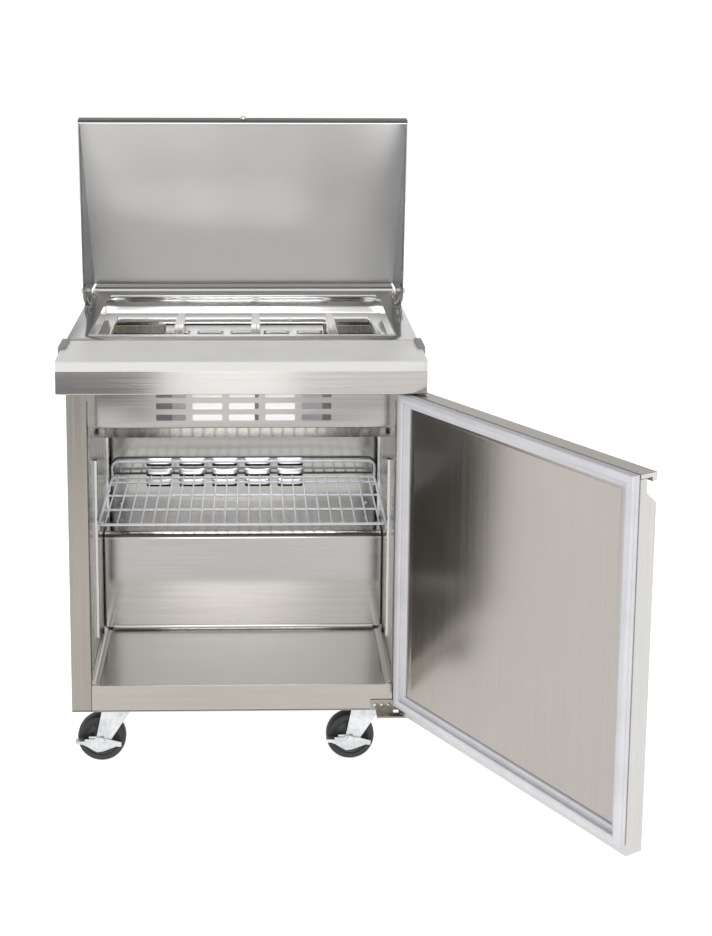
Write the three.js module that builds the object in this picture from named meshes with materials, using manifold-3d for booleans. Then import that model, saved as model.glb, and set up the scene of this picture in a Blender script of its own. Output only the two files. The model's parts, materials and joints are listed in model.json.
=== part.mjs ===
// Mega-top food preparation refrigerator on swivel casters, in millimetres.
// +Z is up, +Y points to the rear, and the origin is the centre of the cabinet's underside.
// At rest the lid stands open and the door hangs open on its right-hand hinges.

import * as THREE from 'three';
import { mergeVertices } from 'three/addons/utils/BufferGeometryUtils.js';
import Module from 'manifold-3d';

const wasm = await Module();
wasm.setup();

// ---- Driving dimensions ----

const GAP = 0.3;
const SHEET = 1.5;

const BODY_WIDTH = 708;
const BODY_DEPTH = 780;
const WALL = 41;
const BASE_SHEET = 2;
const SILL_HEIGHT = 57.5;

const TOP_WIDTH = 737;
const TOP_FRONT = -445;
const TOP_REAR = 404;
const TOP_UNDERSIDE = 691;
const TOP_HEIGHT = 761;

const BOARD_THICKNESS = 20;
const BOARD_FRONT = -458;
const BOARD_REAR = -259;

const WELL_WIDTH = 648;
const WELL_FRONT = -210;
const WELL_REAR = 187;
const WELL_LEDGE = 31;
const WELL_LEDGE_DROP = 31.5;

const STEP_FRONT = -88;
const STEP_HEIGHT = 284;
const STEP_WALL = 40;
const CAVITY_REAR = 330;

const COVER_FRONT = 64;
const BAFFLE_FRONT = -283;

const HINGE_X = 329;
const HINGE_Y = -412;
const DOOR_OPEN_DEG = 121;
const DOOR_WIDTH = 666;
const DOOR_THICKNESS = 37.5;
const DOOR_BOTTOM = 4;
const DOOR_TOP = 688.5;
const SEAL_DEPTH = 16.5;

const LID_PIVOT_Y = 124;
const LID_PIVOT_Z = 795;

const SHELF_FRONT = -290;
const SHELF_REAR = 49;
const SHELF_HEIGHT = 377;
const SHELF_WIDTH = 612;

const CASTER_X = 263;
const CASTER_Y = 330;
const CASTER_HEIGHT = 131;
const WHEEL_RADIUS = 50.8;
const WHEEL_WIDTH = 32;
const WHEEL_TRAIL = 35;

// Dimensions that follow from the ones above.
const BODY_SIDE = BODY_WIDTH / 2;
const BODY_FRONT = -BODY_DEPTH / 2;
const BODY_REAR = BODY_DEPTH / 2;
const CAVITY_SIDE = BODY_SIDE - WALL;
const TOP_SIDE = TOP_WIDTH / 2;
const WELL_SIDE = WELL_WIDTH / 2;
const LEDGE_HEIGHT = TOP_HEIGHT - WELL_LEDGE_DROP;
const DOOR_SIDE = DOOR_WIDTH / 2;
const DOOR_INNER = BODY_FRONT - SEAL_DEPTH - 1;
const DOOR_OUTER = DOOR_INNER - DOOR_THICKNESS;
const SHELF_SIDE = SHELF_WIDTH / 2;

// ---- Materials ----

const finish = (color, roughness, metalness) => new THREE.MeshStandardMaterial({ color, roughness, metalness });
const STEEL = finish(0xb9b4ac, 0.35, 1);
const BRIGHT_STEEL = finish(0xcfcfcd, 0.22, 1);
const ZINC = finish(0xb4b8b8, 0.4, 1);
const BOARD_WHITE = finish(0xeceae6, 0.6, 0);
const GREY_RUBBER = finish(0xbcbcc2, 0.7, 0);
const BLACK_RUBBER = finish(0x262626, 0.75, 0);
const GREY_PLASTIC = finish(0x77777b, 0.55, 0);
const BLACK_PLASTIC = finish(0x1d1d1f, 0.5, 0);
const BLACK_PAINT = finish(0x18181a, 0.45, 0.2);
const COATED_WIRE = finish(0xc4c6ca, 0.4, 0.3);
const FIN_ALUMINIUM = finish(0xc8ccd0, 0.35, 1);

// ---- Solid helpers ----

function solid(geometry) {
  const bare = geometry.clone();
  bare.deleteAttribute('normal');
  bare.deleteAttribute('uv');
  const merged = mergeVertices(bare, 1e-4);
  const vertProperties = new Float32Array(merged.attributes.position.array);
  const triVerts = new Uint32Array(merged.index.array);
  return new wasm.Manifold(new wasm.Mesh({ numProp: 3, vertProperties, triVerts }));
}

function geometryOf(manifold) {
  const mesh = manifold.getMesh();
  const geometry = new THREE.BufferGeometry();
  geometry.setAttribute('position', new THREE.BufferAttribute(new Float32Array(mesh.vertProperties), 3));
  geometry.setIndex(new THREE.BufferAttribute(new Uint32Array(mesh.triVerts), 1));
  const flat = geometry.toNonIndexed();
  flat.computeVertexNormals();
  return flat;
}

function join(geometries) {
  return geometryOf(geometries.map(solid).reduce((sum, next) => sum.add(next)));
}

function cut(geometry, tools) {
  return geometryOf(tools.map(solid).reduce((rest, tool) => rest.subtract(tool), solid(geometry)));
}

function block(x0, x1, y0, y1, z0, z1) {
  const geometry = new THREE.BoxGeometry(x1 - x0, y1 - y0, z1 - z0);
  geometry.translate((x0 + x1) / 2, (y0 + y1) / 2, (z0 + z1) / 2);
  return geometry;
}

// A rod between two heights or positions along one axis.
function rod(axis, radius, from, to, a, b, sides = 16) {
  const geometry = new THREE.CylinderGeometry(radius, radius, to - from, sides);
  const middle = (from + to) / 2;
  if (axis === 'x') {
    geometry.rotateZ(-Math.PI / 2);
    geometry.translate(middle, a, b);
  } else if (axis === 'y') {
    geometry.translate(a, middle, b);
  } else {
    geometry.rotateX(Math.PI / 2);
    geometry.translate(a, b, middle);
  }
  return geometry;
}

// A side outline of (y, z) points, extruded across the width.
function acrossWidth(points, x0, x1) {
  const outline = new THREE.Shape(points.map(([y, z]) => new THREE.Vector2(y, z)));
  const geometry = new THREE.ExtrudeGeometry(outline, { depth: x1 - x0, bevelEnabled: false });
  const axes = new THREE.Matrix4().makeBasis(
    new THREE.Vector3(0, 1, 0), new THREE.Vector3(0, 0, 1), new THREE.Vector3(1, 0, 0));
  geometry.applyMatrix4(axes);
  geometry.translate(x0, 0, 0);
  return geometry;
}

// A plan outline of (x, y) points, extruded upwards.
function upwards(shape, z0, z1, curveSegments = 6) {
  const geometry = new THREE.ExtrudeGeometry(shape, { depth: z1 - z0, bevelEnabled: false, curveSegments });
  geometry.translate(0, 0, z0);
  return geometry;
}

function part(name, geometry, material) {
  const mesh = new THREE.Mesh(geometry, material);
  mesh.name = name;
  return mesh;
}

// ---- Cabinet body ----

function cabinetBody() {
  const wallBottom = BASE_SHEET + GAP;
  const wallTop = TOP_UNDERSIDE - GAP;
  const inner = CAVITY_SIDE - GAP;
  const stepBack = STEP_FRONT + STEP_WALL;
  const stepUnder = STEP_HEIGHT - STEP_WALL;
  const padLength = 49;
  const padWidth = 40;
  const padRecess = 0.4;
  const pads = [-CASTER_X, CASTER_X].flatMap((x) => [-CASTER_Y, CASTER_Y].map((y) => (
    block(x - padLength, x + padLength, y - padWidth, y + padWidth, -1, padRecess))));
  const base = cut(block(-BODY_SIDE, BODY_SIDE, BODY_FRONT, BODY_REAR, 0, BASE_SHEET), pads);
  const left = block(-BODY_SIDE, -CAVITY_SIDE, BODY_FRONT, BODY_REAR, wallBottom, wallTop);
  const right = block(CAVITY_SIDE, BODY_SIDE, BODY_FRONT, BODY_REAR, wallBottom, wallTop);
  const rear = block(-inner, inner, CAVITY_REAR + GAP, BODY_REAR, stepUnder, wallTop);
  const floor = block(-inner, inner, BODY_FRONT, stepBack, wallBottom, SILL_HEIGHT);
  const step = acrossWidth([
    [STEP_FRONT, SILL_HEIGHT + GAP],
    [stepBack, SILL_HEIGHT + GAP],
    [stepBack, stepUnder],
    [CAVITY_REAR, stepUnder],
    [CAVITY_REAR, STEP_HEIGHT],
    [STEP_FRONT + 9, STEP_HEIGHT],
    [STEP_FRONT, STEP_HEIGHT - 9],
  ], -inner, inner);
  return [
    part('base_plate', base, STEEL),
    part('wall_left', left, STEEL),
    part('wall_right', right, STEEL),
    part('wall_rear', rear, STEEL),
    part('floor_panel', floor, STEEL),
    part('step_panel', step, STEEL),
  ];
}

// ---- Worktop, pan well, adapter bars and cutting board ----

function worktop() {
  const slab = block(-TOP_SIDE, TOP_SIDE, TOP_FRONT, TOP_REAR, TOP_UNDERSIDE, TOP_HEIGHT);
  const headDepth = 38;
  const headDrop = 14;
  const inner = CAVITY_SIDE - GAP;
  const head = block(-inner, inner, BODY_FRONT, BODY_FRONT + headDepth,
    TOP_UNDERSIDE - headDrop, TOP_UNDERSIDE + 1);
  const shelfHeight = TOP_HEIGHT - BOARD_THICKNESS - GAP;
  const boardBay = block(-TOP_SIDE - 1, TOP_SIDE + 1, TOP_FRONT - 1, BOARD_REAR + GAP, shelfHeight, TOP_HEIGHT + 1);
  const wellHole = block(-WELL_SIDE, WELL_SIDE, WELL_FRONT, WELL_REAR, TOP_UNDERSIDE - 1, TOP_HEIGHT + 1);
  return part('worktop', cut(join([slab, head]), [boardBay, wellHole]), STEEL);
}

function panWell() {
  const side = WELL_SIDE - GAP;
  const front = WELL_FRONT + GAP;
  const rear = WELL_REAR - GAP;
  const rimRise = 13;
  const skirt = 16;
  const rearExtra = 15;
  const outer = block(-side, side, front, rear, LEDGE_HEIGHT - skirt, TOP_HEIGHT);
  const mouth = block(-side + SHEET, side - SHEET, front + SHEET, rear - SHEET, LEDGE_HEIGHT, TOP_HEIGHT + 1);
  const opening = block(-WELL_SIDE + WELL_LEDGE, WELL_SIDE - WELL_LEDGE,
    WELL_FRONT + WELL_LEDGE, WELL_REAR - WELL_LEDGE - rearExtra, LEDGE_HEIGHT - skirt - 1, LEDGE_HEIGHT + 1);
  const upstand = block(-WELL_SIDE + 11, WELL_SIDE - 11, rear - 2, rear, TOP_HEIGHT - 2, TOP_HEIGHT + rimRise);
  return part('pan_well', join([cut(outer, [mouth, opening]), upstand]), BRIGHT_STEEL);
}

function adapterBars() {
  const positions = [-145, 28, 200];
  const halfWidth = 10.5;
  const top = LEDGE_HEIGHT + GAP + 2.2;
  const under = LEDGE_HEIGHT + GAP;
  const frontEnd = WELL_FRONT + 12;
  const rearEnd = WELL_REAR - 12;
  const legFront = WELL_FRONT + WELL_LEDGE + 3;
  const legRear = WELL_REAR - WELL_LEDGE - 18;
  return positions.map((x, index) => {
    const strip = block(x - halfWidth, x + halfWidth, frontEnd, rearEnd, under, top);
    const leftLeg = block(x - halfWidth, x - halfWidth + SHEET, legFront, legRear, under - 17, under + 1);
    const rightLeg = block(x + halfWidth - SHEET, x + halfWidth, legFront, legRear, under - 17, under + 1);
    return part(`adapter_bar_${index + 1}`, join([strip, leftLeg, rightLeg]), BRIGHT_STEEL);
  });
}

function cuttingBoard() {
  const side = TOP_SIDE - 0.2;
  const corner = 9;
  const outline = new THREE.Shape();
  outline.moveTo(-side, BOARD_REAR);
  outline.lineTo(-side, BOARD_FRONT + corner);
  outline.absarc(-side + corner, BOARD_FRONT + corner, corner, Math.PI, 1.5 * Math.PI, false);
  outline.lineTo(side - corner, BOARD_FRONT);
  outline.absarc(side - corner, BOARD_FRONT + corner, corner, -0.5 * Math.PI, 0, false);
  outline.lineTo(side, BOARD_REAR);
  return part('cutting_board', upwards(outline, TOP_HEIGHT - BOARD_THICKNESS, TOP_HEIGHT, 4), BOARD_WHITE);
}

function boardClips() {
  return [-1, 1].map((hand) => {
    const outer = TOP_SIDE + 5;
    const inner = TOP_SIDE + GAP;
    const sides = [hand * outer, hand * inner].sort((a, b) => a - b);
    const lip = [hand * outer, hand * (TOP_SIDE - 11)].sort((a, b) => a - b);
    const front = BOARD_REAR - 88;
    const rear = BOARD_REAR - 2;
    const cheek = block(...sides, front, rear, TOP_HEIGHT - 15, TOP_HEIGHT + 5);
    const finger = block(...lip, front, rear, TOP_HEIGHT + GAP, TOP_HEIGHT + 5);
    return part(hand < 0 ? 'board_clip_left' : 'board_clip_right', join([cheek, finger]), GREY_PLASTIC);
  });
}

// ---- Lid: a wedge-shaped hood that turns on a bolt at each side ----

const LID_EDGE_Y = 98;
const LID_NOSE_Y = 57;
const LID_NOSE_Z = 1195;
const LID_NOSE_DEPTH = 15;
const LID_HEEL_Y = 356;
const LID_HEEL_Z = 770;
const LID_PANEL = 14;
const LID_HEM = 8;
const LID_ROUND = 26;

function lidHood() {
  const nose = new THREE.Vector2(LID_NOSE_Y, LID_NOSE_Z);
  const heel = new THREE.Vector2(LID_HEEL_Y, LID_HEEL_Z);
  const edge = new THREE.Vector2(LID_EDGE_Y, LID_PIVOT_Z).sub(nose).normalize();
  const back = new THREE.Vector2(-edge.y, edge.x);
  const innerTop = nose.clone().addScaledVector(back, LID_NOSE_DEPTH);
  const slope = heel.clone().sub(innerTop).normalize();
  const out = new THREE.Vector2(-slope.y, slope.x);
  const outerHeel = heel.clone().addScaledVector(out, LID_PANEL);
  const noseToFace = LID_PANEL - nose.clone().sub(heel).dot(out);
  const outerTop = nose.clone().addScaledVector(back, noseToFace / back.dot(out));
  const points = [nose];
  const arcSteps = 5;
  for (let step = 0; step <= arcSteps; step += 1) {
    const angle = Math.PI + (Math.PI / 2) * (step / arcSteps);
    points.push(new THREE.Vector2(
      LID_PIVOT_Y + LID_ROUND * Math.cos(angle), LID_PIVOT_Z + LID_ROUND * Math.sin(angle)));
  }
  points.push(heel, outerHeel, outerTop);
  const skin = acrossWidth(points.map((p) => [p.x, p.y]), -TOP_SIDE, TOP_SIDE);
  const hemCorner = innerTop.clone().addScaledVector(slope, LID_HEM / Math.abs(slope.dot(edge)));
  const hemFront = hemCorner.clone().addScaledVector(back, -200);
  const beyondHeel = heel.clone().addScaledVector(slope, 60);
  const hollowSide = TOP_SIDE - SHEET;
  const hollow = acrossWidth([
    [hemCorner.x, hemCorner.y],
    [hemFront.x, hemFront.y],
    [hemFront.x, beyondHeel.y],
    [beyondHeel.x, beyondHeel.y],
  ], -hollowSide, hollowSide);
  const boltHole = rod('x', 4.3, -TOP_SIDE - 2, TOP_SIDE + 2, LID_PIVOT_Y, LID_PIVOT_Z);
  const knobRadius = 5;
  const knobFoot = nose.clone().addScaledVector(back, 12).addScaledVector(edge, -GAP);
  const knob = new THREE.CylinderGeometry(knobRadius, knobRadius + 1, 7, 16);
  knob.translate(0, 3.5, 0);
  knob.rotateX(Math.atan2(-edge.y, -edge.x));
  knob.translate(0, knobFoot.x, knobFoot.y);
  return [
    part('lid_hood', cut(skin, [hollow, boltHole]), BRIGHT_STEEL),
    part('lid_knob', knob, ZINC),
  ];
}

function lidHinges() {
  const cheekInner = TOP_SIDE - 5.5;
  const cheekOuter = TOP_SIDE - 3;
  const foot = TOP_HEIGHT + GAP;
  return [-1, 1].flatMap((hand) => {
    const side = hand < 0 ? 'left' : 'right';
    const span = (a, b) => [hand * a, hand * b].sort((p, q) => p - q);
    const [x0, x1] = span(cheekInner, cheekOuter);
    const plate = acrossWidth([
      [LID_PIVOT_Y - 22, foot],
      [LID_PIVOT_Y - 22, LID_PIVOT_Z + 12],
      [LID_PIVOT_Y + 14, LID_PIVOT_Z + 16],
      [LID_PIVOT_Y + 120, foot + 14],
      [LID_PIVOT_Y + 120, foot],
    ], x0, x1);
    const flange = block(...span(cheekInner - 14, cheekOuter), LID_PIVOT_Y - 20, LID_PIVOT_Y + 110, foot, foot + 2);
    const hole = rod('x', 4.3, x0 - 1, x1 + 1, LID_PIVOT_Y, LID_PIVOT_Z);
    const shank = rod('x', 4, ...span(cheekInner - 5, TOP_SIDE + 5), LID_PIVOT_Y, LID_PIVOT_Z);
    const head = rod('x', 7.5, ...span(TOP_SIDE + GAP, TOP_SIDE + 6), LID_PIVOT_Y, LID_PIVOT_Z, 6);
    const nut = rod('x', 7.5, ...span(cheekInner - 7, cheekInner - GAP), LID_PIVOT_Y, LID_PIVOT_Z, 6);
    return [
      part(`lid_cheek_${side}`, cut(join([plate, flange]), [hole]), STEEL),
      part(`lid_bolt_${side}`, join([shank, head, nut]), ZINC),
    ];
  });
}

// ---- Door, built closed and swung open about its hinge line ----

const PIN_RADIUS = 2.8;
const SEAL_SIDE = 330;
const SEAL_BOTTOM = 24;
const SEAL_TOP = 687.5;
const SEAL_OPENING_SIDE = 303;
const SEAL_OPENING_BOTTOM = 47;
const SEAL_OPENING_TOP = 666;
const GRIP_WALL = 15;
const CAP_THICKNESS = 8;

function doorParts() {
  const capUnder = DOOR_TOP - CAP_THICKNESS;
  const gripBack = DOOR_INNER - GRIP_WALL;
  const gripFoot = capUnder - 26;
  const gripLip = gripFoot - 20;
  const shell = acrossWidth([
    [DOOR_INNER, DOOR_BOTTOM],
    [DOOR_INNER, capUnder - GAP],
    [gripBack, capUnder - GAP],
    [gripBack, gripFoot],
    [DOOR_OUTER, gripLip],
    [DOOR_OUTER, DOOR_BOTTOM],
  ], -DOOR_SIDE, DOOR_SIDE);
  const pinHole = rod('z', PIN_RADIUS + 0.3, DOOR_BOTTOM - 1, DOOR_BOTTOM + 16, HINGE_X, HINGE_Y);
  const cap = acrossWidth([
    [DOOR_INNER, capUnder],
    [DOOR_INNER, DOOR_TOP],
    [DOOR_OUTER, DOOR_TOP],
    [DOOR_OUTER, capUnder - 6],
    [DOOR_OUTER + 11, capUnder - 8],
    [DOOR_OUTER + 11, capUnder],
  ], -DOOR_SIDE, DOOR_SIDE);
  const capHole = rod('z', PIN_RADIUS + 0.3, capUnder - 1, DOOR_TOP + 1, HINGE_X, HINGE_Y);
  const lining = block(-SEAL_OPENING_SIDE + GAP, SEAL_OPENING_SIDE - GAP, DOOR_INNER + GAP, DOOR_INNER + 3,
    SEAL_OPENING_BOTTOM + GAP, SEAL_OPENING_TOP - GAP);
  const sealBody = block(-SEAL_SIDE, SEAL_SIDE, DOOR_INNER + GAP, DOOR_INNER + SEAL_DEPTH, SEAL_BOTTOM, SEAL_TOP);
  const sealOpening = block(-SEAL_OPENING_SIDE, SEAL_OPENING_SIDE, DOOR_INNER - 1, DOOR_INNER + SEAL_DEPTH + 1,
    SEAL_OPENING_BOTTOM, SEAL_OPENING_TOP);
  const leaf = [
    part('door_panel', cut(shell, [pinHole]), STEEL),
    part('door_lining', lining, BRIGHT_STEEL),
    part('door_gasket', cut(sealBody, [sealOpening]), GREY_RUBBER),
    part('door_handle', cut(cap, [capHole]), BRIGHT_STEEL),
  ];
  const swing = new THREE.Group();
  swing.position.set(HINGE_X, HINGE_Y, 0);
  swing.rotation.z = THREE.MathUtils.degToRad(DOOR_OPEN_DEG);
  const closed = new THREE.Group();
  closed.position.set(-HINGE_X, -HINGE_Y, 0);
  closed.add(...leaf);
  swing.add(closed);
  return swing;
}

function doorHinges() {
  const plateFront = BODY_FRONT - 3;
  const armUnder = -3.5;
  const armTop = 0.3;
  const plateInner = HINGE_X - 63;
  const plateOuter = HINGE_X - 15;
  const armInner = HINGE_X - 51;
  const armFront = HINGE_Y - 10;
  const plate = block(plateInner, plateOuter, plateFront, BODY_FRONT - GAP, 2, 24);
  const web = block(armInner, plateOuter, plateFront, BODY_FRONT - GAP, armUnder, 4);
  const arm = block(armInner, plateOuter, armFront, plateFront + 1, armUnder, armTop);
  const toe = block(plateOuter - 2, HINGE_X + 18, armFront, HINGE_Y + 10, armUnder, armTop);
  const lowerPin = rod('z', PIN_RADIUS, armUnder, DOOR_BOTTOM + 14, HINGE_X, HINGE_Y);
  const hangerUnder = DOOR_TOP + 0.6;
  const hangerTop = TOP_UNDERSIDE - GAP;
  const hanger = block(HINGE_X - 40, HINGE_X + 12, HINGE_Y - 9, BODY_FRONT - GAP, hangerUnder, hangerTop);
  const upperPin = rod('z', PIN_RADIUS, DOOR_TOP - CAP_THICKNESS + 1, hangerTop, HINGE_X, HINGE_Y);
  return [
    part('hinge_bracket_bottom', join([plate, web, arm, toe, lowerPin]), STEEL),
    part('hinge_bracket_top', join([hanger, upperPin]), STEEL),
  ];
}

// ---- Inside the cavity ----

function airBaffle() {
  const side = CAVITY_SIDE - 0.6;
  const foot = 581;
  const lip = 31;
  const sheet = acrossWidth([
    [BAFFLE_FRONT, TOP_UNDERSIDE - GAP],
    [BAFFLE_FRONT, foot],
    [BAFFLE_FRONT + lip, foot - lip],
    [BAFFLE_FRONT + lip + 1.1, foot - lip + 1.1],
    [BAFFLE_FRONT + SHEET, foot + 0.6],
    [BAFFLE_FRONT + SHEET, TOP_UNDERSIDE - GAP],
  ], -side, side);
  const columns = 5;
  const rows = [601.5, 626, 650.5];
  const slots = [];
  for (let column = 0; column < columns; column += 1) {
    const x = 3 + 75.8 * (column - 2);
    rows.forEach((z) => slots.push(
      block(x - 31, x + 31, BAFFLE_FRONT - 2, BAFFLE_FRONT + 4, z - 6.5, z + 6.5)));
  }
  return part('air_baffle', cut(sheet, slots), STEEL);
}

function evaporatorCover() {
  const side = CAVITY_SIDE - 6;
  const foot = STEP_HEIGHT + GAP;
  const shoulder = 640;
  const crest = 688;
  const crestBack = 146;
  const sheet = acrossWidth([
    [COVER_FRONT, foot],
    [COVER_FRONT, shoulder],
    [crestBack, crest],
    [crestBack + 1.5, crest - 1.5],
    [COVER_FRONT + SHEET, shoulder - 1],
    [COVER_FRONT + SHEET, foot],
  ], -side, side);
  const slots = [];
  const columns = 5;
  [349, 373.5, 398].forEach((z) => {
    for (let column = 0; column < columns; column += 1) {
      const x = -44 + 76 * (column - 2);
      slots.push(block(x - 30, x + 30, COVER_FRONT - 2, COVER_FRONT + 4, z - 3, z + 3));
    }
  });
  return part('evaporator_cover', cut(sheet, slots), STEEL);
}

// A block of tubes with a row of plate fins standing a little proud of it.
function finnedCoil(name, span, depth, height, finCount, material) {
  const proud = 6;
  const finThickness = 4;
  const fins = [];
  const endInset = 8;
  const pitch = (span[1] - span[0] - 2 * endInset) / (finCount - 1);
  const core = block(span[0], span[1], depth[0] + proud, depth[1] - proud, height[0] + proud, height[1] - proud);
  for (let index = 0; index < finCount; index += 1) {
    const x = span[0] + endInset + index * pitch;
    fins.push(block(x - finThickness / 2, x + finThickness / 2, ...depth, ...height));
  }
  return part(name, join([core, ...fins]), material);
}

function evaporatorCoil() {
  return finnedCoil('evaporator_coil', [-250, 250], [230, 306], [432, 568], 12, FIN_ALUMINIUM);
}

// An axial fan whose motor case turns with the hub. Its axis runs along Y.
function axialFan(name, x, y, z, radius) {
  const blades = [];
  const bladeCount = 5;
  for (let index = 0; index < bladeCount; index += 1) {
    const blade = new THREE.BoxGeometry(radius * 0.72, 2, radius * 0.5);
    blade.rotateX(0.5);
    blade.translate(radius * 0.6, 0, 0);
    blade.rotateY((2 * Math.PI * index) / bladeCount);
    blade.translate(x, y, z);
    blades.push(blade);
  }
  const hub = rod('y', radius * 0.34, y - 14, y + 20, x, z);
  return part(name, join([hub, ...blades]), BLACK_PLASTIC);
}

const WIRE_THIN = 3.6;
const WIRE_THICK = 6;
const FENCE_RISE = 35;

function wireShelf() {
  const wires = [];
  const thinCount = 12;
  const crossCount = 5;
  const top = SHELF_HEIGHT;
  const seat = top - WIRE_THIN + 0.4;
  for (let index = 0; index < thinCount; index += 1) {
    const x = -SHELF_SIDE + 22 + (index * (SHELF_WIDTH - 44)) / (thinCount - 1);
    wires.push(block(x - WIRE_THIN / 2, x + WIRE_THIN / 2, SHELF_FRONT + 1, SHELF_REAR - 1, top - WIRE_THIN, top));
  }
  for (let index = 0; index < crossCount; index += 1) {
    const y = SHELF_FRONT + WIRE_THICK / 2 + (index * (SHELF_REAR - SHELF_FRONT - WIRE_THICK)) / (crossCount - 1);
    wires.push(block(-SHELF_SIDE + 1, SHELF_SIDE - 1, y - WIRE_THICK / 2, y + WIRE_THICK / 2, seat - WIRE_THICK, seat));
  }
  [-1, 1].forEach((hand) => {
    const [x0, x1] = [hand * SHELF_SIDE, hand * (SHELF_SIDE - WIRE_THICK)].sort((a, b) => a - b);
    wires.push(block(x0, x1, SHELF_FRONT, SHELF_REAR, seat - WIRE_THICK, seat));
    wires.push(block(x0, x1, SHELF_REAR - WIRE_THICK, SHELF_REAR, seat - 1, top + FENCE_RISE));
  });
  wires.push(block(-SHELF_SIDE, SHELF_SIDE, SHELF_REAR - WIRE_THICK, SHELF_REAR,
    top + FENCE_RISE - WIRE_THICK, top + FENCE_RISE));
  return part('wire_shelf', join(wires), COATED_WIRE);
}

const PILASTER_DEPTH = 6.5;
const PILASTER_TOP = 503;

function shelfSupports() {
  const clipTop = SHELF_HEIGHT - WIRE_THIN + 0.4 - WIRE_THICK - GAP;
  const parts = [];
  [['front', -255, 110], ['rear', 10, STEP_HEIGHT + 6]].forEach(([place, y, foot]) => {
    [-1, 1].forEach((hand) => {
      const side = hand < 0 ? 'left' : 'right';
      const span = (a, b) => [hand * a, hand * b].sort((p, q) => p - q);
      const wall = CAVITY_SIDE - GAP;
      const face = CAVITY_SIDE - PILASTER_DEPTH;
      parts.push(part(`pilaster_${place}_${side}`, block(...span(wall, face), y - 8, y + 8, foot, PILASTER_TOP), STEEL));
      const tongue = block(...span(face - GAP, face - 12), y - 7, y + 7, clipTop - 3, clipTop);
      const tail = block(...span(face - GAP, face - 2.5), y - 7, y + 7, clipTop - 18, clipTop);
      parts.push(part(`shelf_clip_${place}_${side}`, join([tongue, tail]), STEEL));
    });
  });
  return parts;
}

// ---- Machine compartment ----

function compressorCan() {
  const floorTop = BASE_SHEET + GAP;
  const centreX = -170;
  const centreY = 150;
  const radius = 78;
  const rubberHeight = 10;
  const footLength = 80;
  const footWidth = 60;
  const can = new THREE.LatheGeometry([
    new THREE.Vector2(0, 0),
    new THREE.Vector2(radius - 6, 0),
    new THREE.Vector2(radius, 20),
    new THREE.Vector2(radius, 118),
    new THREE.Vector2(radius - 12, 142),
    new THREE.Vector2(radius / 2, 154),
    new THREE.Vector2(0, 158),
  ], 20);
  can.rotateX(Math.PI / 2);
  can.translate(centreX, centreY, floorTop + rubberHeight);
  const feet = block(centreX - footLength, centreX + footLength, centreY - footWidth, centreY + footWidth,
    floorTop, floorTop + rubberHeight + 2);
  return part('compressor', join([can, feet]), BLACK_PAINT);
}

function rearGrille() {
  const inner = CAVITY_SIDE - GAP;
  const plate = block(-inner, inner, BODY_REAR - 4, BODY_REAR - 2, BASE_SHEET + GAP, STEP_HEIGHT - STEP_WALL - GAP);
  const slots = [];
  const slotRows = 9;
  const rowPitch = 22;
  const lowestRow = 34;
  const slotCentre = 150;
  const slotReach = 125;
  const slotHalf = 4;
  for (let row = 0; row < slotRows; row += 1) {
    const z = lowestRow + row * rowPitch;
    [-slotCentre, slotCentre].forEach((x) => slots.push(
      block(x - slotReach, x + slotReach, BODY_REAR - 6, BODY_REAR, z - slotHalf, z + slotHalf)));
  }
  return part('rear_grille', cut(plate, slots), STEEL);
}

function machineParts() {
  const floorTop = BASE_SHEET + GAP;
  const glandRadius = 13;
  const glandLength = 12;
  return [
    compressorCan(),
    finnedCoil('condenser_coil', [30, 290], [312, 368], [floorTop, 212], 8, BLACK_PAINT),
    axialFan('condenser_fan', 160, 270, 112, 84),
    rearGrille(),
    part('cord_gland', rod('y', glandRadius, BODY_REAR + GAP, BODY_REAR + glandLength, -285, 300), BLACK_PLASTIC),
  ];
}

// ---- Casters ----

const RACE_TOP = -4;

function casterFork(withBrake) {
  const legInner = WHEEL_WIDTH / 2 + 4;
  const legOuter = legInner + 3;
  const axleZ = -CASTER_HEIGHT + WHEEL_RADIUS;
  const crown = block(-34, 30, -legOuter, legOuter, RACE_TOP - 10, RACE_TOP - 6);
  const leg = [
    [-32, RACE_TOP - 7],
    [30, RACE_TOP - 7],
    [-WHEEL_TRAIL + 16, axleZ - 6],
    [-WHEEL_TRAIL, axleZ - 13],
    [-WHEEL_TRAIL - 12, axleZ - 4],
  ];
  const legs = [-1, 1].map((hand) => {
    const outline = new THREE.Shape(leg.map(([x, z]) => new THREE.Vector2(x, z)));
    const geometry = new THREE.ExtrudeGeometry(outline, { depth: legOuter - legInner, bevelEnabled: false });
    geometry.rotateX(Math.PI / 2);
    geometry.translate(0, hand < 0 ? -legInner : legOuter, 0);
    return geometry;
  });
  const axle = rod('y', 5, -legOuter - 5, legOuter + 5, -WHEEL_TRAIL, axleZ, 12);
  const race = rod('z', 31, RACE_TOP - 8, RACE_TOP - GAP, 0, 0, 24);
  const lugs = withBrake ? [block(-WHEEL_TRAIL - 26, -WHEEL_TRAIL - 8, -legOuter, -legInner, axleZ - 2, axleZ + 8)] : [];
  return join([crown, ...legs, axle, race, ...lugs]);
}

function casterWheel() {
  const half = WHEEL_WIDTH / 2;
  const bore = 5.06;
  const profile = [
    [bore, -half - 2], [14, -half - 2], [16, -half + 4], [34, -half + 4], [36, -half],
    [WHEEL_RADIUS - 4, -half], [WHEEL_RADIUS, -half + 5], [WHEEL_RADIUS, half - 5], [WHEEL_RADIUS - 4, half],
    [36, half], [34, half - 4], [16, half - 4], [14, half + 2], [bore, half + 2], [bore, -half - 2],
  ].map(([r, y]) => new THREE.Vector2(r, y));
  return new THREE.LatheGeometry(profile, 40);
}

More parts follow.
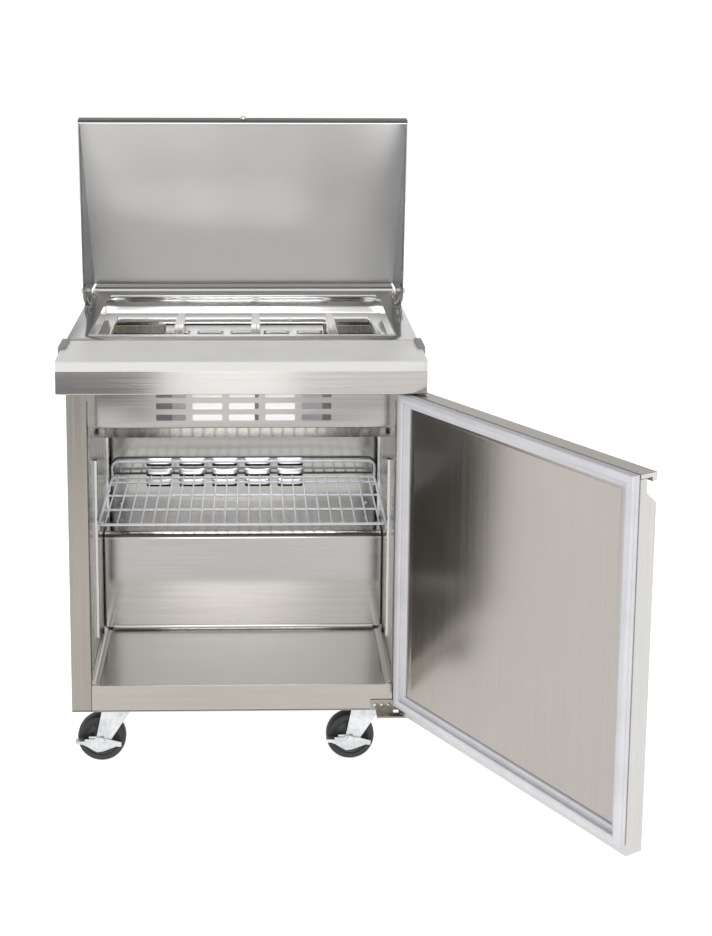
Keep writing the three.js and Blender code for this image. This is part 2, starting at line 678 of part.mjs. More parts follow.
function brakePedal() {
  const outer = -WHEEL_WIDTH / 2 - 7 - GAP;
  const axleZ = -CASTER_HEIGHT + WHEEL_RADIUS;
  const outline = new THREE.Shape();
  outline.moveTo(-WHEEL_TRAIL - 50, axleZ + 4);
  outline.lineTo(-WHEEL_TRAIL - 14, axleZ + 3);
  outline.lineTo(-WHEEL_TRAIL - 7, axleZ + 8);
  outline.lineTo(-WHEEL_TRAIL + 24, axleZ + 1);
  outline.lineTo(-WHEEL_TRAIL + 43, axleZ - 4);
  outline.lineTo(-WHEEL_TRAIL + 42, axleZ - 14);
  outline.lineTo(-WHEEL_TRAIL + 32, axleZ - 13);
  outline.lineTo(-WHEEL_TRAIL + 4, axleZ - 24);
  outline.lineTo(-WHEEL_TRAIL - 8, axleZ - 26);
  outline.lineTo(-WHEEL_TRAIL - 16, axleZ - 22);
  outline.lineTo(-WHEEL_TRAIL - 32, axleZ - 12);
  outline.lineTo(-WHEEL_TRAIL - 50, axleZ - 4);
  const plate = new THREE.ExtrudeGeometry(outline, { depth: 3, bevelEnabled: false });
  plate.rotateX(Math.PI / 2);
  plate.translate(0, outer, 0);
  const tread = block(-WHEEL_TRAIL - 52, -WHEEL_TRAIL - 34, outer - 16, outer - 1, axleZ - 2, axleZ + 5);
  const axleHole = rod('y', 5.3, outer - 6, outer + 2, -WHEEL_TRAIL, axleZ, 12);
  return cut(join([plate, tread]), [axleHole]);
}

function casters() {
  const corners = [
    ['front_left', -1, -1], ['front_right', 1, -1], ['rear_left', -1, 1], ['rear_right', 1, 1],
  ];
  return corners.map(([place, sideX, sideY]) => {
    const group = new THREE.Group();
    group.position.set(sideX * CASTER_X, sideY * CASTER_Y, 0);
    const braked = sideY < 0;
    const plate = block(-47, 47, -38, 38, RACE_TOP, -GAP);
    group.add(part(`caster_plate_${place}`, plate, ZINC));
    group.add(part(`caster_fork_${place}`, casterFork(braked), ZINC));
    const wheel = part(`caster_wheel_${place}`, casterWheel(), BLACK_RUBBER);
    wheel.position.set(-WHEEL_TRAIL, 0, -CASTER_HEIGHT + WHEEL_RADIUS);
    group.add(wheel);
    if (braked) {
      group.add(part(`brake_pedal_${place}`, brakePedal(), ZINC));
    }
    return group;
  });
}

const refrigerator = new THREE.Group();
refrigerator.add(...cabinetBody());
refrigerator.add(worktop(), panWell(), ...adapterBars(), cuttingBoard(), ...boardClips());
refrigerator.add(...lidHood(), ...lidHinges());
refrigerator.add(doorParts(), ...doorHinges());
refrigerator.add(airBaffle(), evaporatorCover(), evaporatorCoil(), wireShelf(), ...shelfSupports());
refrigerator.add(axialFan('evaporator_fan', -44, 200, 380, 74));
refrigerator.add(...machineParts());
refrigerator.add(...casters());

export default refrigerator;
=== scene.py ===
# Preparation refrigerator with a pan well and a hood lid: its looks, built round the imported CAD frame.
# Pieces are modelled in millimetres and scaled to metres when they are made.

import json
import math

import bmesh
import bpy
from mathutils import Matrix, Vector

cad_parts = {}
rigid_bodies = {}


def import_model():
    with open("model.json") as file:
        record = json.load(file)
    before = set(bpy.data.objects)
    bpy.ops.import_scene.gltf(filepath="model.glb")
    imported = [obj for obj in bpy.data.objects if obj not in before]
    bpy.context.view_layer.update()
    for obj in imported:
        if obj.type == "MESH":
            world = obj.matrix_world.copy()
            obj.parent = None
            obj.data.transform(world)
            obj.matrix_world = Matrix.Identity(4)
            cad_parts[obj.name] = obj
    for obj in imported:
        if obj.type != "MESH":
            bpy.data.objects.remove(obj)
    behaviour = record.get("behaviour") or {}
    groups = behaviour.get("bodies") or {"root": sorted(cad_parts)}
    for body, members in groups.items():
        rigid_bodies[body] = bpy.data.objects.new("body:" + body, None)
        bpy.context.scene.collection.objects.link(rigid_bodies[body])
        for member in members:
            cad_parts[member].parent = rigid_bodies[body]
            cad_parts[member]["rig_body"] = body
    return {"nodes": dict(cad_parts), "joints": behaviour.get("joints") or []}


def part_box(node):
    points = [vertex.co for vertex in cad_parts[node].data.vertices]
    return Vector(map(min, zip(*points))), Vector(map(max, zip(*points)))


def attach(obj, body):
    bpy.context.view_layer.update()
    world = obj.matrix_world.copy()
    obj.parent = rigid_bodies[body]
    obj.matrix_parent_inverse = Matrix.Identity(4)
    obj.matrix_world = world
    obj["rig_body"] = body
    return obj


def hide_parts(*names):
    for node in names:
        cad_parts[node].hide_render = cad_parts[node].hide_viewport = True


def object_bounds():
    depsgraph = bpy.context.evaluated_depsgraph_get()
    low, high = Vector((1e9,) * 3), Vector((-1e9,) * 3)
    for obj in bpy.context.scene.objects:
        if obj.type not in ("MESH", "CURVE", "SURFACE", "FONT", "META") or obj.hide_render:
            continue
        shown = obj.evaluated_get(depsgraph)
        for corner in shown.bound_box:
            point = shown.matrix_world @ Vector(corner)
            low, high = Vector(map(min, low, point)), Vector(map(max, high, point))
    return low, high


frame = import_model()
cad_low, cad_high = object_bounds()

MM = 0.001
JOINTS = {joint["name"]: joint for joint in frame["joints"]}


def extent(node):
    """The CAD node's box in millimetres: (x0, x1), (y0, y1), (z0, z1)."""
    low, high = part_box(node)
    return [(low[i] / MM, high[i] / MM) for i in range(3)]


def joint_place(name):
    """A joint's place in millimetres."""
    return [value / MM for value in JOINTS[name]["pos_m"]]


# ---- Key places, in millimetres ----

TOP_X, TOP_Y, TOP_Z = extent("worktop")
WALL_X = extent("wall_right")[0]
WALL_Y = extent("wall_left")[1]
CAVITY = WALL_X[0]
SILL_TOP = extent("floor_panel")[2][1]
STEP_X, STEP_Y, STEP_Z = extent("step_panel")
WELL_X, WELL_Y, WELL_Z = extent("pan_well")
SHELF_X, SHELF_Y, SHELF_Z = extent("wire_shelf")
BAFFLE_X, BAFFLE_Y, BAFFLE_Z = extent("air_baffle")
COVER_X, COVER_Y, COVER_Z = extent("evaporator_cover")
LID_X, LID_Y, LID_Z = extent("lid_hood")
FLOOR_Z = cad_low[2] / MM
DECK = TOP_Z[1]
# The ledge inside the pan well, which the bars lie on
LEDGE = 729.5

LID_HINGE = joint_place("lid_hinge")
DOOR_HINGE = joint_place("door_hinge")
DOOR_OPEN = math.radians(121)
# On the shut door: the back of the lining, and the face of the seal
DOOR_INNER = -407.5
SEAL_FACE = -391


# ---- Materials ----


def shader_of(name, **values):
    """A material and its Principled shader, with constant values set on the shader itself."""
    material = bpy.data.materials.new(name)
    material.use_nodes = True
    shader = material.node_tree.nodes["Principled BSDF"]
    for key, value in values.items():
        shader.inputs[key.replace("_", " ")].default_value = value
    return material, material.node_tree, shader


def add_node(tree, kind, output, inputs=(), **settings):
    """A new node's output, with inputs that are constants or other nodes' outputs."""
    made = tree.nodes.new("ShaderNode" + kind)
    for key, value in settings.items():
        setattr(made, key, value)
    for key, value in dict(inputs).items():
        if isinstance(value, bpy.types.NodeSocket):
            tree.links.new(value, made.inputs[key])
        else:
            made.inputs[key].default_value = value
    return made.outputs[output]


def noise(tree, scale, detail=3.0, stretch=(1, 1, 1), rough=0.5):
    """Noise over the piece's own coordinates, stretched along the grain."""
    place = add_node(tree, "TexCoord", "Object")
    place = add_node(tree, "Mapping", "Vector", {"Vector": place, "Scale": stretch})
    inputs = {"Vector": place, "Scale": scale, "Detail": detail, "Roughness": rough}
    return add_node(tree, "TexNoise", "Fac", inputs)


def spread(tree, value, low, high, start=0.3, stop=0.7):
    """Maps a noise value from start..stop to low..high."""
    inputs = {"Value": value, "From Min": start, "From Max": stop, "To Min": low, "To Max": high}
    return add_node(tree, "MapRange", "Result", inputs)


def tint(tree, value, first, second):
    """From the first colour, or colour output, to the second colour, by a value from 0 to 1."""
    if isinstance(first, tuple):
        first = (*first, 1)
    inputs = {"Factor": value, "A": first, "B": (*second, 1)}
    return add_node(tree, "Mix", "Result", inputs, data_type="RGBA")


def bump(tree, value, depth, strength=1.0, under=None):
    """The normal of a surface raised by a value, over another bump if there is one."""
    inputs = {"Height": value, "Distance": depth, "Strength": strength}
    if under is not None:
        inputs["Normal"] = under
    return add_node(tree, "Bump", "Normal", inputs)


def add(tree, first, second, share):
    """first plus share of second."""
    return add_node(tree, "Math", "Value", {0: second, 1: share, 2: first}, operation="MULTIPLY_ADD")


def size_along(tree, output, axis):
    """A texture coordinate's size along one axis, without its sign."""
    part = add_node(tree, "SeparateXYZ", axis, {"Vector": add_node(tree, "TexCoord", output)})
    return add_node(tree, "Math", "Value", {0: part}, operation="ABSOLUTE")


def turned(tree, axis):
    """1 on faces turned along the axis of the piece, 0 on the others."""
    return spread(tree, size_along(tree, "Normal", axis), 0, 1, 0.6, 0.85)


def beyond(tree, axis, place):
    """1 where the distance from the middle along an axis is more than a place in millimetres."""
    blur = 0.4
    size = size_along(tree, "Object", axis)
    return spread(tree, size, 0, 1, (place - blur) * MM, (place + blur) * MM)


def finish(tree, shader, colour, roughness, normal):
    """Links what the nodes made to the shader."""
    tree.links.new(colour, shader.inputs["Base Color"])
    tree.links.new(roughness, shader.inputs["Roughness"])
    tree.links.new(normal, shader.inputs["Normal"])


def sheet_steel(name, dark, light, grain, roughness, scratch, wave, wave_scale=2.2, faces=(), edges=()):
    """Rolled or brushed stainless sheet: grain streaks, faint stains and a slight waviness, with painted
    light and shade: faces turned along an axis, and bands past a place, take tones of their own.
    """
    material, tree, shader = shader_of(name, Metallic=1.0)
    streaks = noise(tree, 1.0, 3, grain, 0.6)
    stains = noise(tree, 3.1, 4, (1, 1, 1), 0.55)
    tone = spread(tree, add(tree, streaks, stains, 0.6), 0, 1, 0.45, 1.15)
    colour = tint(tree, tone, dark, light)
    # Painted shade and painted dark reflections: bands past a place along an axis take a darker tone.
    for axis, place, other in edges:
        colour = tint(tree, beyond(tree, axis, place), colour, other)
    # Painted light and shade: faces turned along an axis take a lighter or darker tone.
    for axis, other in faces:
        colour = tint(tree, turned(tree, axis), colour, other)
    gloss = spread(tree, add(tree, streaks, stains, 0.5), *roughness, 0.4, 1.1)
    waves = bump(tree, noise(tree, wave_scale, 1, (1, 1, 1), 0.3), wave)
    finish(tree, shader, colour, gloss, bump(tree, streaks, scratch, 0.5, waves))
    return material


def moulded(name, dark, light, roughness, grain_scale, grain_depth=0.0001):
    """Plastic, rubber or paint with a fine surface grain and slight mottling."""
    material, tree, shader = shader_of(name)
    mottle = noise(tree, 14, 4, (1, 1, 1), 0.6)
    colour = tint(tree, spread(tree, mottle, 0, 1), dark, light)
    grain = noise(tree, grain_scale, 2, (1, 1, 1), 0.5)
    finish(tree, shader, colour, spread(tree, mottle, *roughness), bump(tree, grain, grain_depth, 0.6))
    return material


def zinc_plate():
    """Bright zinc plating with a faint crystal pattern."""
    material, tree, shader = shader_of("zinc", Metallic=1.0)
    inputs = {"Vector": add_node(tree, "TexCoord", "Object"), "Scale": 160}
    cells = add_node(tree, "TexVoronoi", "Distance", inputs)
    soil = noise(tree, 35, 4)
    value = spread(tree, add(tree, soil, cells, 0.4), 0, 1, 0.4, 0.9)
    colour = tint(tree, value, (0.46, 0.49, 0.50), (0.66, 0.68, 0.69))
    finish(tree, shader, colour, spread(tree, value, 0.24, 0.42, 0, 1), bump(tree, soil, 0.0003, 0.4))
    return material


def board_plastic():
    """White polyethylene board, with faint knife marks on a satin face, and a darker front face that is
    painted shade.
    """
    material, tree, shader = shader_of("board_plastic", Specular_IOR_Level=0.5, IOR=1.5)
    marks = noise(tree, 1.0, 5, (60, 9, 60), 0.7)
    mottle = noise(tree, 9, 3)
    value = spread(tree, add(tree, mottle, marks, 0.3), 0, 1, 0.4, 0.9)
    colour = tint(tree, value, (0.80, 0.80, 0.785), (0.86, 0.86, 0.85))
    # Painted shade: the front face is darker.
    colour = tint(tree, turned(tree, "Y"), colour, (0.57, 0.57, 0.56))
    finish(tree, shader, colour, spread(tree, marks, 0.3, 0.46), bump(tree, marks, 0.0002, 0.4))
    return material


# The grain's scale along x, y and z
ACROSS = (4, 260, 260)
UPRIGHT = (260, 260, 4)
# Heights and widths of the painted dark bands: a painted dark reflection on the step's nose and on the lid's
# front lip, and painted shade along the lid's sides
STEP_NOSE_DARK_REFLECTION = 11
LID_SIDE_SHADE = 1.6
LID_LIP_DARK_REFLECTION = 9

LOOKS = {
    # Painted light: the deck's top faces have a tone of their own, set for how light falls on them.
    "fascia": sheet_steel(
        "fascia_steel", (0.46, 0.445, 0.43), (0.53, 0.515, 0.50), ACROSS, (0.09, 0.14),
        0.00004, 0.001, faces=(("Z", (0.48, 0.475, 0.47)),),
    ),
    # Painted light: faces turned to the side are much lighter.
    "frame": sheet_steel(
        "frame_steel", (0.275, 0.255, 0.228), (0.33, 0.309, 0.28), UPRIGHT, (0.22, 0.30), 0.00005, 0.001,
        faces=(("X", (0.55, 0.535, 0.515)),),
    ),
    # Painted light: top faces are lighter.
    "rail": sheet_steel(
        "rail_steel", (0.35, 0.327, 0.30), (0.41, 0.387, 0.359), ACROSS, (0.16, 0.24), 0.00005, 0.001,
        faces=(("Z", (0.68, 0.665, 0.645)),),
    ),
    # Painted light: top faces are a little lighter.
    "inner": sheet_steel(
        "liner_steel", (0.33, 0.32, 0.306), (0.39, 0.38, 0.366), ACROSS, (0.10, 0.16), 0.00003, 0.003,
        faces=(("Z", (0.40, 0.395, 0.385)),),
    ),
    # Painted light on the top faces, and a painted dark reflection along the nose.
    "step": sheet_steel(
        "step_steel", (0.34, 0.33, 0.318), (0.40, 0.39, 0.378), ACROSS, (0.10, 0.16), 0.00003, 0.004,
        faces=(("Z", (0.50, 0.495, 0.485)),),
        edges=(("Z", STEP_Z[1] - STEP_NOSE_DARK_REFLECTION, (0.09, 0.088, 0.085)),),
    ),
    "inner_side": sheet_steel(
        "side_liner", (0.42, 0.41, 0.396), (0.5, 0.49, 0.475), UPRIGHT, (0.12, 0.18), 0.00003, 0.003,
    ),
    # Painted shade: top faces are darker.
    "well": sheet_steel(
        "well_steel", (0.60, 0.60, 0.59), (0.68, 0.68, 0.675), ACROSS, (0.07, 0.13), 0.00003, 0.0012,
        faces=(("Z", (0.45, 0.45, 0.445)),),
    ),
    # Painted shade: dark steel for the lid's hems and for the channel behind the lid.
    "edge": sheet_steel(
        "painted_shade_steel", (0.12, 0.115, 0.11), (0.17, 0.165, 0.16), ACROSS, (0.28, 0.38), 0.00003, 0.0005,
    ),
    # Painted shade on the side faces and along the side flanges, and a painted dark reflection on the front
    # lip.
    "lid": sheet_steel(
        "lid_steel", (0.91, 0.91, 0.91), (0.96, 0.96, 0.96), UPRIGHT, (0.36, 0.44), 0.00004, 0.0015,
        faces=(("X", (0.42, 0.43, 0.445)),),
        edges=(
            ("X", LID_X[1] - LID_SIDE_SHADE, (0.42, 0.43, 0.445)),
            ("Z", LID_Z[1] - LID_LIP_DARK_REFLECTION, (0.085, 0.075, 0.07)),
        ),
    ),
    # Painted highlight: a lit copy of the liner steel, for surfaces seen bright through slots and openings.
    "guide": sheet_steel(
        "painted_highlight_steel", (0.72, 0.72, 0.72), (0.80, 0.80, 0.80), ACROSS, (0.30, 0.40), 0.00003, 0.001,
    ),
    "lining": sheet_steel(
        "door_lining_steel", (0.36, 0.338, 0.312), (0.40, 0.377, 0.35), UPRIGHT, (0.14, 0.2),
        0.000008, 0.009, 1.6,
    ),
    "door": sheet_steel(
        "door_steel", (0.48, 0.47, 0.458), (0.55, 0.541, 0.528), UPRIGHT, (0.22, 0.30), 0.00004, 0.001,
    ),
    "wire": moulded("shelf_coating", (0.50, 0.52, 0.56), (0.58, 0.60, 0.64), (0.28, 0.4), 420),
    "fin": sheet_steel(
        "fin_aluminium", (0.60, 0.62, 0.63), (0.72, 0.74, 0.75), UPRIGHT, (0.3, 0.42), 0.0001, 0.0005,
    ),
    "zinc": zinc_plate(),
    "board": board_plastic(),
    "clip": moulded("clip_plastic", (0.22, 0.22, 0.23), (0.30, 0.30, 0.31), (0.42, 0.56), 900),
    "gasket": moulded("gasket_vinyl", (0.50, 0.50, 0.53), (0.57, 0.57, 0.60), (0.38, 0.5), 700),
    # Painted shade: dark plastic for the ribs seen through the baffle's slots.
    "shade": moulded("painted_shade_plastic", (0.10, 0.097, 0.095), (0.15, 0.147, 0.145), (0.45, 0.6), 700),
    "tyre": moulded("tyre_rubber", (0.012, 0.012, 0.013), (0.030, 0.030, 0.031), (0.5, 0.68), 500, 0.0003),
    "hub": moulded("hub_plastic", (0.018, 0.018, 0.020), (0.035, 0.035, 0.037), (0.35, 0.5), 500),
    "paint": moulded("black_paint", (0.010, 0.010, 0.011), (0.022, 0.022, 0.023), (0.28, 0.42), 380, 0.0003),
    "plastic": moulded(
        "black_plastic", (0.012, 0.012, 0.013), (0.026, 0.026, 0.027), (0.4, 0.52), 600, 0.0002,
    ),
}


# ---- Mesh helpers, in millimetres ----


def block(bm, x0, x1, y0, y1, z0, z1):
    """A closed box."""
    corners = [bm.verts.new((x, y, z)) for x in (x0, x1) for y in (y0, y1) for z in (z0, z1)]
    faces = ((0, 1, 3, 2), (4, 6, 7, 5), (0, 4, 5, 1), (2, 3, 7, 6), (0, 2, 6, 4), (1, 5, 7, 3))
    for face in faces:
        bm.faces.new([corners[i] for i in face])


PLACE = {
    "x": lambda a, b, c: (c, a, b),
    "y": lambda a, b, c: (a, c, b),
    "z": lambda a, b, c: (a, b, c),
}


def join(bm, rings, closed=False):
    """Faces between neighbouring rings of points, where a ring of one point is a tip."""
    pairs = list(zip(rings, rings[1:]))
    if closed:
        pairs.append((rings[-1], rings[0]))
    for first, second in pairs:
        count = max(len(first), len(second))
        for k in range(count):
            j = (k + 1) % count
            spots = ((first, k), (first, j), (second, j), (second, k))
            corners = list(dict.fromkeys(ring[i % len(ring)] for ring, i in spots))
            if len(corners) > 2:
                bm.faces.new(corners)


def prism(bm, outline, axis, start, stop):
    """An outline in the plane across the axis, made solid from start to stop."""
    place = PLACE[axis]
    ends = [[bm.verts.new(place(a, b, c)) for a, b in outline] for c in (start, stop)]
    bm.faces.new(ends[0])
    bm.faces.new(ends[1][::-1])
    join(bm, ends)


def rounded(points, radius, steps=4, closed=False):
    """A path with its corners rounded."""
    points = [Vector(p) for p in points]
    made = []
    count = len(points)
    for i, point in enumerate(points):
        if not closed and i in (0, count - 1):
            made.append(point)
            continue
        before = points[i - 1] - point
        after = points[(i + 1) % count] - point
        reach = min(radius, before.length * 0.49, after.length * 0.49)
        start = point + before.normalized() * reach
        stop = point + after.normalized() * reach
        for step in range(steps + 1):
            t = step / steps
            made.append(start * (1 - t) ** 2 + point * (2 * t * (1 - t)) + stop * t * t)
    return made


def offset_path(path, distance):
    """The path moved sideways by a distance, to its left."""
    moved = []
    for i, point in enumerate(path):
        before = (point - path[i - 1]).normalized() if i else None
        after = (path[i + 1] - point).normalized() if i + 1 < len(path) else None
        along = ((before or after) + (after or before)).normalized()
        left = Vector((-along.y, along.x))
        half = max(0.3, along.dot(before or after))
        moved.append(point + left * distance / half)
    return moved


def sheet(bm, path, thickness, start, stop, bend=3.0, axis="x", steps=3):
    """Folded sheet metal: a path across the axis with rounded bends, given a thickness."""
    line = rounded(path, bend, steps) if bend else [Vector(p) for p in path]
    prism(bm, line + offset_path(line, thickness)[::-1], axis, start, stop)


def tube(bm, points, radius, sides=8, closed=False):
    """A round wire along a path, with closed ends."""
    points = [Vector(p) for p in points]
    count = len(points)
    rings = []
    side = None
    for i, point in enumerate(points):
        ahead = points[(i + 1) % count] if closed or i + 1 < count else point
        behind = points[i - 1] if closed or i else point
        along = (ahead - behind).normalized()
        if side is None:
            helper = Vector((0, 0, 1)) if abs(along.z) < 0.9 else Vector((1, 0, 0))
            side = along.cross(helper).normalized()
        side = (side - along * side.dot(along)).normalized()
        other = along.cross(side)
        ring = []
        for k in range(sides):
            angle = 2 * math.pi * k / sides
            offset = side * math.cos(angle) + other * math.sin(angle)
            ring.append(bm.verts.new(point + offset * radius))
        rings.append(ring)
    join(bm, rings, closed)
    if not closed:
        bm.faces.new(rings[0][::-1])
        bm.faces.new(rings[-1])


def lathe(bm, profile, centre, axis, sides=32, closed=False):
    """A profile of (radius, position along the axis), turned about the axis through centre."""
    place = PLACE[axis]
    centre = Vector(centre)
    rings = []
    for radius, height in profile:
        ring = []
        for k in range(sides if radius else 1):
            angle = 2 * math.pi * k / sides
            point = place(radius * math.cos(angle), radius * math.sin(angle), height)
            ring.append(bm.verts.new(centre + Vector(point)))
        rings.append(ring)
    join(bm, rings, closed)
    if not closed:
        for ring in (rings[0], rings[-1]):
            if len(ring) > 2:
                bm.faces.new(ring)


def mirrored(profile):
    """A lathe profile followed by its mirror image."""
    return profile + [(radius, -height) for radius, height in reversed(profile)]


def mitred_frame(bm, rect, profile, axis):
    """A closed profile of (inset, height) run round a rectangle, with mitred corners."""
    a0, a1, b0, b1 = rect
    place = PLACE[axis]
    rings = []
    for a, b, sign_a, sign_b in ((a0, b0, 1, 1), (a1, b0, -1, 1), (a1, b1, -1, -1), (a0, b1, 1, -1)):
        rings.append([bm.verts.new(place(a + sign_a * i, b + sign_b * i, h)) for i, h in profile])
    join(bm, rings, closed=True)


def plate(bm, front, back):
    """Two grids of points, one behind the other, closed into a thin solid."""
    rows = len(front) - 1
    columns = len(front[0]) - 1
    for i in range(rows):
        for j in range(columns):
            bm.faces.new((front[i][j], front[i + 1][j], front[i + 1][j + 1], front[i][j + 1]))
            bm.faces.new((back[i][j], back[i][j + 1], back[i + 1][j + 1], back[i + 1][j]))
        for j in (0, columns):
            bm.faces.new((front[i][j], front[i + 1][j], back[i + 1][j], back[i][j]))
    for j in range(columns):
        for i in (0, rows):
            bm.faces.new((front[i][j], front[i][j + 1], back[i][j + 1], back[i][j]))


def hood(bm, middle, face, top, height, depth):
    """A louvre hood that bulges forward from a face: closed above and at its ends, open below."""
    half = 30
    thickness = 1.0
    across = 12
    down = 5
    outer = []
    inner = []
    for i in range(across + 1):
        u = 2 * i / across - 1
        bulge = (1 - abs(u) ** 5) ** 0.5
        x = middle + half * u
        front = []
        back = []
        for j in range(down + 1):
            angle = math.pi / 2 * j / down
            y = face - 0.4 - depth * bulge * math.sin(angle)
            z = top - height * (0.35 * (1 - math.cos(angle)) + 0.65 * j / down)
            front.append(bm.verts.new((x, y, z)))
            back.append(bm.verts.new((x, min(y + thickness, face - 0.1), z - 0.3)))
        outer.append(front)
        inner.append(back)
    plate(bm, outer, inner)


def evenly(low, high, count):
    """Places at equal steps from low to high."""
    return [low + (high - low) * k / (count - 1) for k in range(count)]


# ---- Pieces ----

# Edges that turn by more degrees than this stay crisp
CREASE = 38


def mesh_of(bm, name):
    """The finished mesh, in metres, with its faces turned outward."""
    bmesh.ops.recalc_face_normals(bm, faces=bm.faces)
    mesh = bpy.data.meshes.new(name)
    bm.to_mesh(mesh)
    bm.free()
    mesh.transform(Matrix.Scale(MM, 4))
    return mesh


def placed(name, data):
    """A new object in the scene."""
    item = bpy.data.objects.new(name, data)
    bpy.context.scene.collection.objects.link(item)
    return item


def make(bm, name, look, body="cabinet", replaces=(), place=None, bevel=0.0, segments=2, smooth=CREASE):
    """Turns a mesh in millimetres into a piece that rides on a body."""
    mesh = mesh_of(bm, name)
    mesh.materials.append(LOOKS[look])
    piece = placed(name, mesh)
    if place is not None:
        piece.matrix_world = place
    mesh.polygons.foreach_set("use_smooth", [True] * len(mesh.polygons))
    mesh.set_sharp_from_angle(angle=math.radians(smooth))
    if bevel:
        edge = piece.modifiers.new("edge", "BEVEL")
        edge.width = bevel * MM
        edge.segments = segments
        edge.limit_method = "ANGLE"
        edge.angle_limit = math.radians(35)
        edge.harden_normals = True
    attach(piece, body)
    if replaces:
        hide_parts(*replaces)
    return piece


def body_of_node(node):
    """The body that a CAD node rides on."""
    return frame["nodes"][node]["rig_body"]


def node_mesh(node, place=None):
    """The CAD node's shape as clean polygons, in millimetres, in the piece's own frame."""
    bm = bmesh.new()
    bm.from_mesh(frame["nodes"][node].data)
    if place is not None:
        bm.transform(place.inverted())
    bm.transform(Matrix.Scale(1 / MM, 4))
    bmesh.ops.remove_doubles(bm, verts=bm.verts, dist=0.01)
    bmesh.ops.dissolve_limit(bm, angle_limit=math.radians(0.6), verts=bm.verts, edges=bm.edges)
    return bm


def coat(node, look, bevel, place=None, segments=2):
    """The CAD node with its edges rounded."""
    bm = node_mesh(node, place)
    return make(bm, node + "_skin", look, body_of_node(node), [node], place, bevel, segments)


def cut(piece, bm):
    """Cuts the shapes in a mesh out of a piece that has no bevel yet."""
    tool = placed("cutter", mesh_of(bm, "cutter"))
    step = piece.modifiers.new("cut", "BOOLEAN")
    step.operation = "DIFFERENCE"
    step.solver = "EXACT"
    step.object = tool
    bpy.context.view_layer.update()
    graph = bpy.context.evaluated_depsgraph_get()
    mesh = bpy.data.meshes.new_from_object(piece.evaluated_get(graph))
    piece.modifiers.clear()
    old = piece.data
    piece.data = mesh
    mesh.name = old.name
    bpy.data.meshes.remove(old)
    bpy.data.objects.remove(tool)
    mesh.set_sharp_from_angle(angle=math.radians(CREASE))


def slot_cutter(bm, x, z, width, height, face):
    """A slot with rounded corners, through a sheet whose front is at face."""
    radius = 3
    corners = [(a * width / 2, b * height / 2) for a, b in ((-1, -1), (1, -1), (1, 1), (-1, 1))]
    outline = [(x + a, z + b) for a, b in rounded(corners, radius, closed=True)]
    prism(bm, outline, "y", face - 5, face + 6)


def screw_head(bm, centre, axis, radius, height, sign=1):
    """A low domed screw head with a shallow dish in its top."""
    shape = ((1, 0), (1, 0.35), (0.8, 0.8), (0.45, 1), (0.35, 0.45), (0, 0.35))
    lathe(bm, [(radius * r, sign * height * h) for r, h in shape], centre, axis, 18)


def screws(name, centres, axis, radius, height, sign=1):
    """A piece made of several screw heads."""
    bm = bmesh.new()
    for centre in centres:
        screw_head(bm, centre, axis, radius, height, sign)
    make(bm, name, "zinc")


def hexagon(bm, centre, axis, radius, start, stop):
    """A nut or bolt head with chamfered ends."""
    chamfer = 0.6
    flat = radius * 0.9
    profile = [(flat, start), (radius, start + chamfer), (radius, stop - chamfer), (flat, stop)]
    lathe(bm, profile, centre, axis, 6)


# ---- Cabinet ----


def cabinet_shell():
    coat("wall_left", "frame", 1.6)
    coat("wall_right", "frame", 1.6)
    coat("wall_rear", "inner", 1.2)
    coat("floor_panel", "rail", 1.4)
    coat("base_plate", "frame", 0.6)
    coat("step_panel", "step", 8, segments=5)


def cove(corner, foot, radius, hand):
    """The outline of a rounded fillet between a wall and a floor."""
    steps = 6
    angles = [math.pi / 2 * i / steps for i in range(steps + 1)]
    arc = [(corner - hand * radius * (1 - math.cos(a)), foot + radius * (1 - math.sin(a))) for a in angles]
    return [(corner, foot), (corner, foot + radius + 0.5), *arc, (corner - hand * (radius + 0.5), foot)]


def liner_coves():
    """Rounded corners between the floor and the side walls, and along the foot of the step."""
    gap = 0.4
    foot = SILL_TOP + 0.3
    rear = STEP_Y[0] - gap
    bm = bmesh.new()
    for hand in (-1, 1):
        prism(bm, cove(hand * (CAVITY - gap), foot, 17, hand), "y", WALL_Y[0] + 6, rear)
    make(bm, "liner_coves", "inner")
    bm = bmesh.new()
    prism(bm, cove(rear, foot, 9, 1), "x", STEP_X[0] + 20, STEP_X[1] - 20)
    make(bm, "step_cove", "inner")


def frame_trim():
    """Breaker strips round the opening, just inside the stiles."""
    depth = 22
    front = WALL_Y[0]
    bm = bmesh.new()
    for hand in (-1, 1):
        wall = hand * (CAVITY - 0.3)
        face = wall - hand * 1.6
        path = [(wall, front + 2), (face, front + 5), (face, front + depth)]
        sheet(bm, path, -hand, SILL_TOP + 3, TOP_Z[0] - 18, 0, "z")
    make(bm, "opening_trim", "inner_side")


# ---- Worktop, well, bars and board ----


def worktop_skin():
    """The worktop, the tabs that hold it under its side edges, and a dark channel behind the lid that is
    painted shade under the lid's back edge.
    """
    coat("worktop", "fascia", 2.4, segments=3)
    tab = 60
    under = TOP_Z[0] - 0.2
    bm = bmesh.new()
    for y in (TOP_Y[0] + tab, TOP_Y[1] - 2 * tab):
        for hand in (-1, 1):
            path = [(hand * (TOP_X[1] - 1), under), (hand * (WALL_X[1] + 0.5), under)]
            sheet(bm, path, hand, y, y + tab, axis="y")
    make(bm, "worktop_tabs", "fascia")
    # The channel is dark steel: painted shade under the lid's back edge.
    half = 365
    rear = TOP_Y[1]
    top = DECK + 2.4
    bm = bmesh.new()
    sheet(bm, [(rear - 58, DECK + 0.2), (rear - 56, top), (rear - 2, top)], -1.4, -half, half, 1.5)
    make(bm, "rear_shade_channel", "edge")


